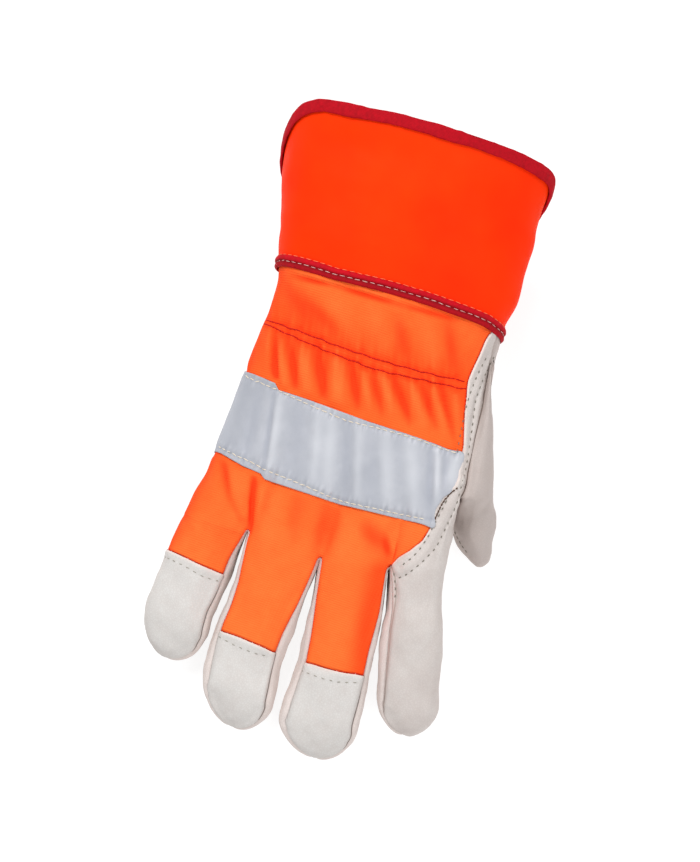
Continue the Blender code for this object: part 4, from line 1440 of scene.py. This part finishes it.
def new_material(name, roughness, specular):
    """A new material, its node tree and its shader."""
    made = bpy.data.materials.new(name)
    made.use_nodes = True
    tree = made.node_tree
    shader = tree.nodes["Principled BSDF"]
    shader.inputs["Roughness"].default_value = roughness
    shader.inputs["Specular IOR Level"].default_value = specular
    return made, tree, shader


SHEEN_ROUGHNESS = 0.5


def add_sheen(shader, weight, tint):
    """The soft glow of fine fibres at a grazing angle."""
    shader.inputs["Sheen Weight"].default_value = weight
    shader.inputs["Sheen Roughness"].default_value = SHEEN_ROUGHNESS
    shader.inputs["Sheen Tint"].default_value = tint


def finish_material(tree, shader, colour, height, strength, distance, rough=None):
    """Links a colour, a bump of some distance in mm and, if given, a roughness to the shader."""
    tree.links.new(colour, shader.inputs["Base Color"])
    bump = add_node(tree, "Bump", {"Strength": strength, "Distance": distance * MM, "Height": height})
    tree.links.new(bump.outputs["Normal"], shader.inputs["Normal"])
    if rough is not None:
        tree.links.new(rough, shader.inputs["Roughness"])


# %% [markdown]
# The back is bright orange cotton drill with fine ribs across it. Its dye is fluorescent, so its shade is
# redder and hardly darker. Where the cloth turns away or dips into a fold it gets a painted shade of that
# redder colour, on top of the shade its real shape gets. Its ridges get a painted highlight, and a painted
# shadow runs along the edges where leather lies on it.

# %% Back cloth
CLOTH_LIGHT = linear(255, 116, 50)
CLOTH_MAIN = linear(255, 100, 40)
CLOTH_RIDGE_HIGHLIGHT = linear(255, 124, 58)
CLOTH_VALLEY_SHADE = linear(250, 56, 16)
CLOTH_SHADE_AND_TONE = linear(254, 74, 24)
CLOTH_PALE = linear(255, 136, 64)
CLOTH_EDGE_SHADOW = linear(190, 20, 6)
FIBRE_GLOW = linear(255, 130, 70)

back_cloth, tree, shader = new_material("orange cotton drill", roughness=0.85, specular=0.1)
add_sheen(shader, weight=0.05, tint=FIBRE_GLOW)
tones = use_group(tree, tone_group, **{"Size mm": 30.0, "Seed": 1.0})
ribs = use_group(tree, weave_group, **{"Pitch mm": 0.9, "Cross pitch mm": 0.6})
colour = blend(tree, tones.outputs["Broad"], CLOTH_MAIN, CLOTH_LIGHT)
colour = blend(tree, scaled(tree, tones.outputs["Fine"], amount=0.2), colour, CLOTH_SHADE_AND_TONE)
colour = blend(tree, scaled(tree, attribute(tree, "pale"), amount=0.35), colour, CLOTH_PALE)
# Painted shade: redder near the elastic and down the middle finger's right side.
colour = blend(tree, scaled(tree, attribute(tree, "gathered"), amount=0.9), colour, CLOTH_SHADE_AND_TONE)
# Painted shade where the cloth turns away from the lamps.
turned_shade_mask = spread(tree, attribute(tree, "turn"), start=0.1, end=0.6, high=0.85)
colour = blend(tree, turned_shade_mask, colour, CLOTH_SHADE_AND_TONE)
fold = attribute(tree, "fold")
# Painted shade in the fold valleys and a painted highlight on the ridges.
colour = blend(tree, spread(tree, fold, start=0.0, end=-1.0, high=0.9), colour, CLOTH_VALLEY_SHADE)
colour = blend(tree, spread(tree, fold, start=0.0, end=1.0, high=0.6), colour, CLOTH_RIDGE_HIGHLIGHT)
colour = blend(tree, scaled(tree, ribs.outputs["Tone"], amount=0.36), colour, CLOTH_SHADE_AND_TONE)
# A painted shadow along the leather's laid edges, and painted shade at the hems.
colour = blend(tree, mark(tree, "edge", width=1.3, amount=0.9), colour, CLOTH_EDGE_SHADOW)
colour = blend(tree, mark(tree, "hem", width=1.4, amount=0.6), colour, CLOTH_VALLEY_SHADE)
rough = uneven(tree, tones, low=0.78, high=0.92)
finish_material(tree, shader, colour, ribs.outputs["Height"], strength=0.55, distance=0.22, rough=rough)
print(back_cloth.name, "nodes:", len(tree.nodes))

# %% [markdown]
# The cuff is the same orange, but redder and smoother, because a coating fills its weave. A little
# more gloss shows at its bends.

# %% Cuff cloth
CUFF_LIGHT = linear(255, 68, 4)
CUFF_MAIN = linear(255, 44, 0)
CUFF_DEEP = linear(240, 34, 4)

cuff_cloth, tree, shader = new_material("coated orange cuff cloth", roughness=0.6, specular=0.05)
add_sheen(shader, weight=0.02, tint=FIBRE_GLOW)
tones = use_group(tree, tone_group, **{"Size mm": 70.0, "Seed": 2.0})
ribs = use_group(tree, weave_group, **{"Pitch mm": 0.6, "Cross pitch mm": 0.6})
colour = blend(tree, tones.outputs["Broad"], CUFF_MAIN, CUFF_LIGHT)
colour = blend(tree, scaled(tree, tones.outputs["Fine"], amount=0.2), colour, CUFF_DEEP)
colour = blend(tree, scaled(tree, ribs.outputs["Tone"], amount=0.12), colour, CUFF_DEEP)
colour = blend(tree, mark(tree, "rim", width=5.5, amount=0.4), colour, CUFF_DEEP)
rough = uneven(tree, tones, low=0.5, high=0.64)
finish_material(tree, shader, colour, ribs.outputs["Height"], strength=0.2, distance=0.06, rough=rough)
print(cuff_cloth.name, "nodes:", len(tree.nodes))

# %% [markdown]
# The leather is pale warm grey and matt. Seams are thin dark lines of painted shade in their grooves, with a
# faint broader painted shade beside them, and the stitch dents and the surfaces that turn away get painted
# shade too. The leather beside a cut edge gets a painted highlight, and handling leaves broad faint stains.
# The thumb's hide is a little darker and pinker than the fingertips': partly as different cuts of hide are,
# and partly painted shade, as the thumb lies in the index finger's shade. The side strips are painted
# lighter, which lifts the shade at the fingers' sides. So each panel gets its own pair of colours.

# %% Leather
SEAM_GROOVE_SHADE = linear(96, 78, 68)
HEM_PINK = linear(214, 150, 136)
EDGE_HIGHLIGHT = linear(240, 222, 214)
HIDE_STAIN_AND_SEAM_SHADE = linear(192, 174, 167)
HIDE_PORE = linear(140, 124, 116)
HIDE_TURNED_SHADE = linear(206, 192, 186)
SIDE_SEAM_SHADE = linear(136, 108, 88)
STITCH_CREASE_SHADE = linear(176, 170, 162)
# Each row holds the noted line, the mark's width in mm, its strength and its colour.
# Painted light: the edge mark is a painted highlight along cut edges, and the row and seam_line marks are
# painted shade in the stitch dents and seam grooves.
LEATHER_MARKS = (
    ("edge", 0.9, 0.7, EDGE_HIGHLIGHT),
    ("row", 1.0, 0.3, STITCH_CREASE_SHADE),
    ("hem", 0.7, 0.3, HEM_PINK),
    ("seam_line", 2.6, 0.2, HIDE_STAIN_AND_SEAM_SHADE),
    ("seam_line", 0.5, 0.9, SEAM_GROOVE_SHADE),
)


def leather(name, light, dark, seed):
    """A hide of two close colours, with painted shade at its seams, stitch rows and turned sides, a painted
    highlight at its cut edges, and the sewn side of the index finger.
    """
    made, tree, shader = new_material(name, roughness=0.72, specular=0.25)
    tones = use_group(tree, tone_group, **{"Size mm": 22.0, "Seed": seed})
    grain = use_group(tree, grain_group, **{"Size mm": 1.0})
    colour = blend(tree, tones.outputs["Broad"], dark, light)
    colour = blend(tree, scaled(tree, tones.outputs["Fine"], amount=0.14), colour, HIDE_STAIN_AND_SEAM_SHADE)
    pores = math_node(tree, "SUBTRACT", 1.0, grain.outputs["Pores"])
    colour = blend(tree, scaled(tree, pores, amount=0.12), colour, HIDE_PORE)
    # Painted shade where the surface turns away and on the index finger's side left of its seam, and a dark
    # line of painted shade in that seam.
    turned_shade_mask = spread(tree, attribute(tree, "turn"), start=0.3, end=1.0, high=0.35)
    colour = blend(tree, turned_shade_mask, colour, HIDE_TURNED_SHADE)
    side_seam = attribute(tree, "side_seam")
    colour = blend(tree, spread(tree, side_seam, start=0.0, end=-1.5, high=0.7), colour, HIDE_TURNED_SHADE)
    from_side = math_node(tree, "ABSOLUTE", side_seam)
    colour = blend(tree, mark_at(tree, from_side, width=1.2, amount=0.5), colour, SIDE_SEAM_SHADE)
    for noted_line, width, amount, tone in LEATHER_MARKS:
        colour = blend(tree, mark(tree, noted_line, width, amount), colour, tone)
    rough = uneven(tree, tones, low=0.62, high=0.8)
    finish_material(
        tree, shader, colour, grain.outputs["Height"], strength=0.35, distance=0.12, rough=rough
    )
    print(name, "nodes:", len(tree.nodes))
    return made


tip_leather = leather("pale fingertip leather", linear(213, 211, 208), linear(206, 203, 200), seed=3.0)
index_leather = leather("index finger leather", linear(211, 205, 201), linear(197, 188, 184), seed=4.0)
# Painted shade: the thumb's colours are darker partly because the thumb lies in the index finger's shade.
thumb_leather = leather("thumb leather", linear(186, 176, 172), linear(181, 170, 165), seed=5.0)
palm_leather = leather("palm leather", linear(214, 211, 208), linear(205, 201, 197), seed=6.0)
# Painted light: the side strips' colours are lighter, to lift the shade at the fingers' sides.
strip_leather = leather("side strip leather", linear(230, 220, 216), linear(219, 208, 203), seed=7.0)

# %% [markdown]
# The bindings are dark red woven tape. The seam binding gets painted shade in its stitched groove, and the
# lobe on the hand's side of the groove is painted darker, as it lies in the shade of the other. The rim
# binding has one tone between.

# %% Binding tape
BINDING_RED = linear(204, 12, 32)
BINDING_DARK_TONE_AND_SHADE = linear(134, 12, 22)
BINDING_WEFT = linear(120, 8, 12)
GROOVE_LINE = 0.46

binding_weave, tree, shader = new_material("dark red binding", roughness=0.75, specular=0.1)
add_sheen(shader, weight=0.05, tint=BINDING_RED)
tones = use_group(tree, tone_group, **{"Size mm": 9.0, "Seed": 8.0})
ribs = use_group(tree, weave_group, **{"Pitch mm": 0.5, "Cross pitch mm": 0.5})
colour = blend(tree, scaled(tree, tones.outputs["Fine"], amount=0.45), BINDING_RED, BINDING_DARK_TONE_AND_SHADE)
across_tape = attribute(tree, "across")
# Painted shade on the hand's lobe and in the stitched groove.
colour = blend(tree, spread(tree, across_tape, start=0.55, end=0.42, high=0.35), colour, BINDING_DARK_TONE_AND_SHADE)
from_groove = math_node(tree, "ABSOLUTE", math_node(tree, "SUBTRACT", across_tape, GROOVE_LINE))
colour = blend(tree, mark_at(tree, from_groove, width=0.26), colour, BINDING_DARK_TONE_AND_SHADE)
colour = blend(tree, scaled(tree, ribs.outputs["Tone"], amount=0.35), colour, BINDING_WEFT)
finish_material(tree, shader, colour, ribs.outputs["Height"], strength=0.5, distance=0.1)
print(binding_weave.name, "nodes:", len(tree.nodes))

# %% [markdown]
# The tape is coated with glass beads too fine to see, which give it a silky blue-grey surface. Its facets get
# a painted highlight where they stand up, and painted shade in the valleys and where they turn away.

# %% Silver of the tape
SILVER_DULL = linear(164, 167, 175)
SILVER_BRIGHT = linear(184, 186, 193)
SILVER_SPECKLE = linear(160, 163, 173)
SILVER_TURNED_SHADE = linear(150, 154, 165)
SILVER_VALLEY_SHADE = linear(150, 154, 166)
SILVER_FACET_HIGHLIGHT = linear(216, 218, 223)
SILVER_EDGE = linear(160, 163, 172)
BEAD_SCALE = 2600.0

silver, tree, shader = new_material("silver reflective tape", roughness=0.5, specular=0.3)
tones = use_group(tree, tone_group, **{"Size mm": 16.0, "Seed": 9.0})
beads = add_node(tree, "TexNoise", {"Vector": place_node(tree), "Scale": BEAD_SCALE})
colour = blend(tree, tones.outputs["Broad"], SILVER_DULL, SILVER_BRIGHT)
colour = blend(tree, scaled(tree, tones.outputs["Fine"], amount=0.25), colour, SILVER_SPECKLE)
# Painted shade where the facets turn away and in the valleys, and a painted highlight on the raised facets.
turned_shade_mask = spread(tree, attribute(tree, "turn"), start=0.1, end=0.6, high=0.6)
colour = blend(tree, turned_shade_mask, colour, SILVER_TURNED_SHADE)
fold = attribute(tree, "fold")
colour = blend(tree, spread(tree, fold, start=0.0, end=-0.8, high=0.75), colour, SILVER_VALLEY_SHADE)
colour = blend(tree, spread(tree, fold, start=0.0, end=0.9, high=0.75), colour, SILVER_FACET_HIGHLIGHT)
colour = blend(tree, mark(tree, "rim", width=1.4, amount=0.35), colour, SILVER_EDGE)
rough = uneven(tree, tones, low=0.42, high=0.58)
finish_material(tree, shader, colour, beads.outputs["Fac"], strength=0.15, distance=0.05, rough=rough)
shader.inputs["Metallic"].default_value = 0.05
print(silver.name, "nodes:", len(tree.nodes))

# %% [markdown]
# The threads are twisted, so their tone changes quickly along them.

# %% Threads
TWIST_SCALE = 1500.0


def thread(name, light, dark):
    """A thread of two tones that change along its twist."""
    made, tree, shader = new_material(name, roughness=0.7, specular=0.2)
    twist = add_node(tree, "TexNoise", {"Vector": place_node(tree), "Scale": TWIST_SCALE})
    colour = blend(tree, twist.outputs["Fac"], dark, light)
    finish_material(tree, shader, colour, twist.outputs["Fac"], strength=0.3, distance=0.05)
    return made


white_thread = thread("white thread", linear(244, 212, 204), linear(222, 168, 160))
cream_thread = thread("cream thread", linear(236, 226, 208), linear(206, 192, 172))
pink_thread = thread("pink cream thread", linear(255, 150, 104), linear(244, 104, 62))
red_thread = thread("dark red thread", linear(206, 26, 8), linear(168, 14, 6))
grey_thread = thread("grey thread", linear(138, 133, 122), linear(96, 90, 80))
olive_thread = thread("olive grey thread", linear(168, 164, 152), linear(136, 131, 120))
frayed_thread = thread("frayed red thread", linear(170, 34, 24), linear(104, 22, 16))
brown_thread = thread("dark brown thread", linear(110, 84, 70), linear(48, 34, 28))

# %% Put the materials on the pieces
FINISHES = {
    "back_panel": back_cloth,
    "index_back": index_leather,
    "thumb": thumb_leather,
    "palm": palm_leather,
    **dict.fromkeys(TIPS, tip_leather),
    **dict.fromkeys(SIDE_STRIPS, strip_leather),
}


def paint(piece, material):
    """Gives a piece this material alone."""
    piece.data.materials.clear()
    piece.data.materials.append(material)


for name, panel in panels.items():
    paint(panel, FINISHES[name])
for piece, material in (
    (tape, silver),
    (cuff, cuff_cloth),
    (seam_binding, binding_weave),
    (rim_binding, binding_weave),
    (groove_thread, white_thread),
    (edge_thread, pink_thread),
    (tape_thread, cream_thread),
    (elastic_thread, red_thread),
    (tip_thread, olive_thread),
    (leather_thread, grey_thread),
    (thumb_thread, grey_thread),
    (whipped, brown_thread),
    (fibres, frayed_thread),
    (pale_fibres, white_thread),
):
    paint(piece, material)
print("materials:", len(bpy.data.materials))
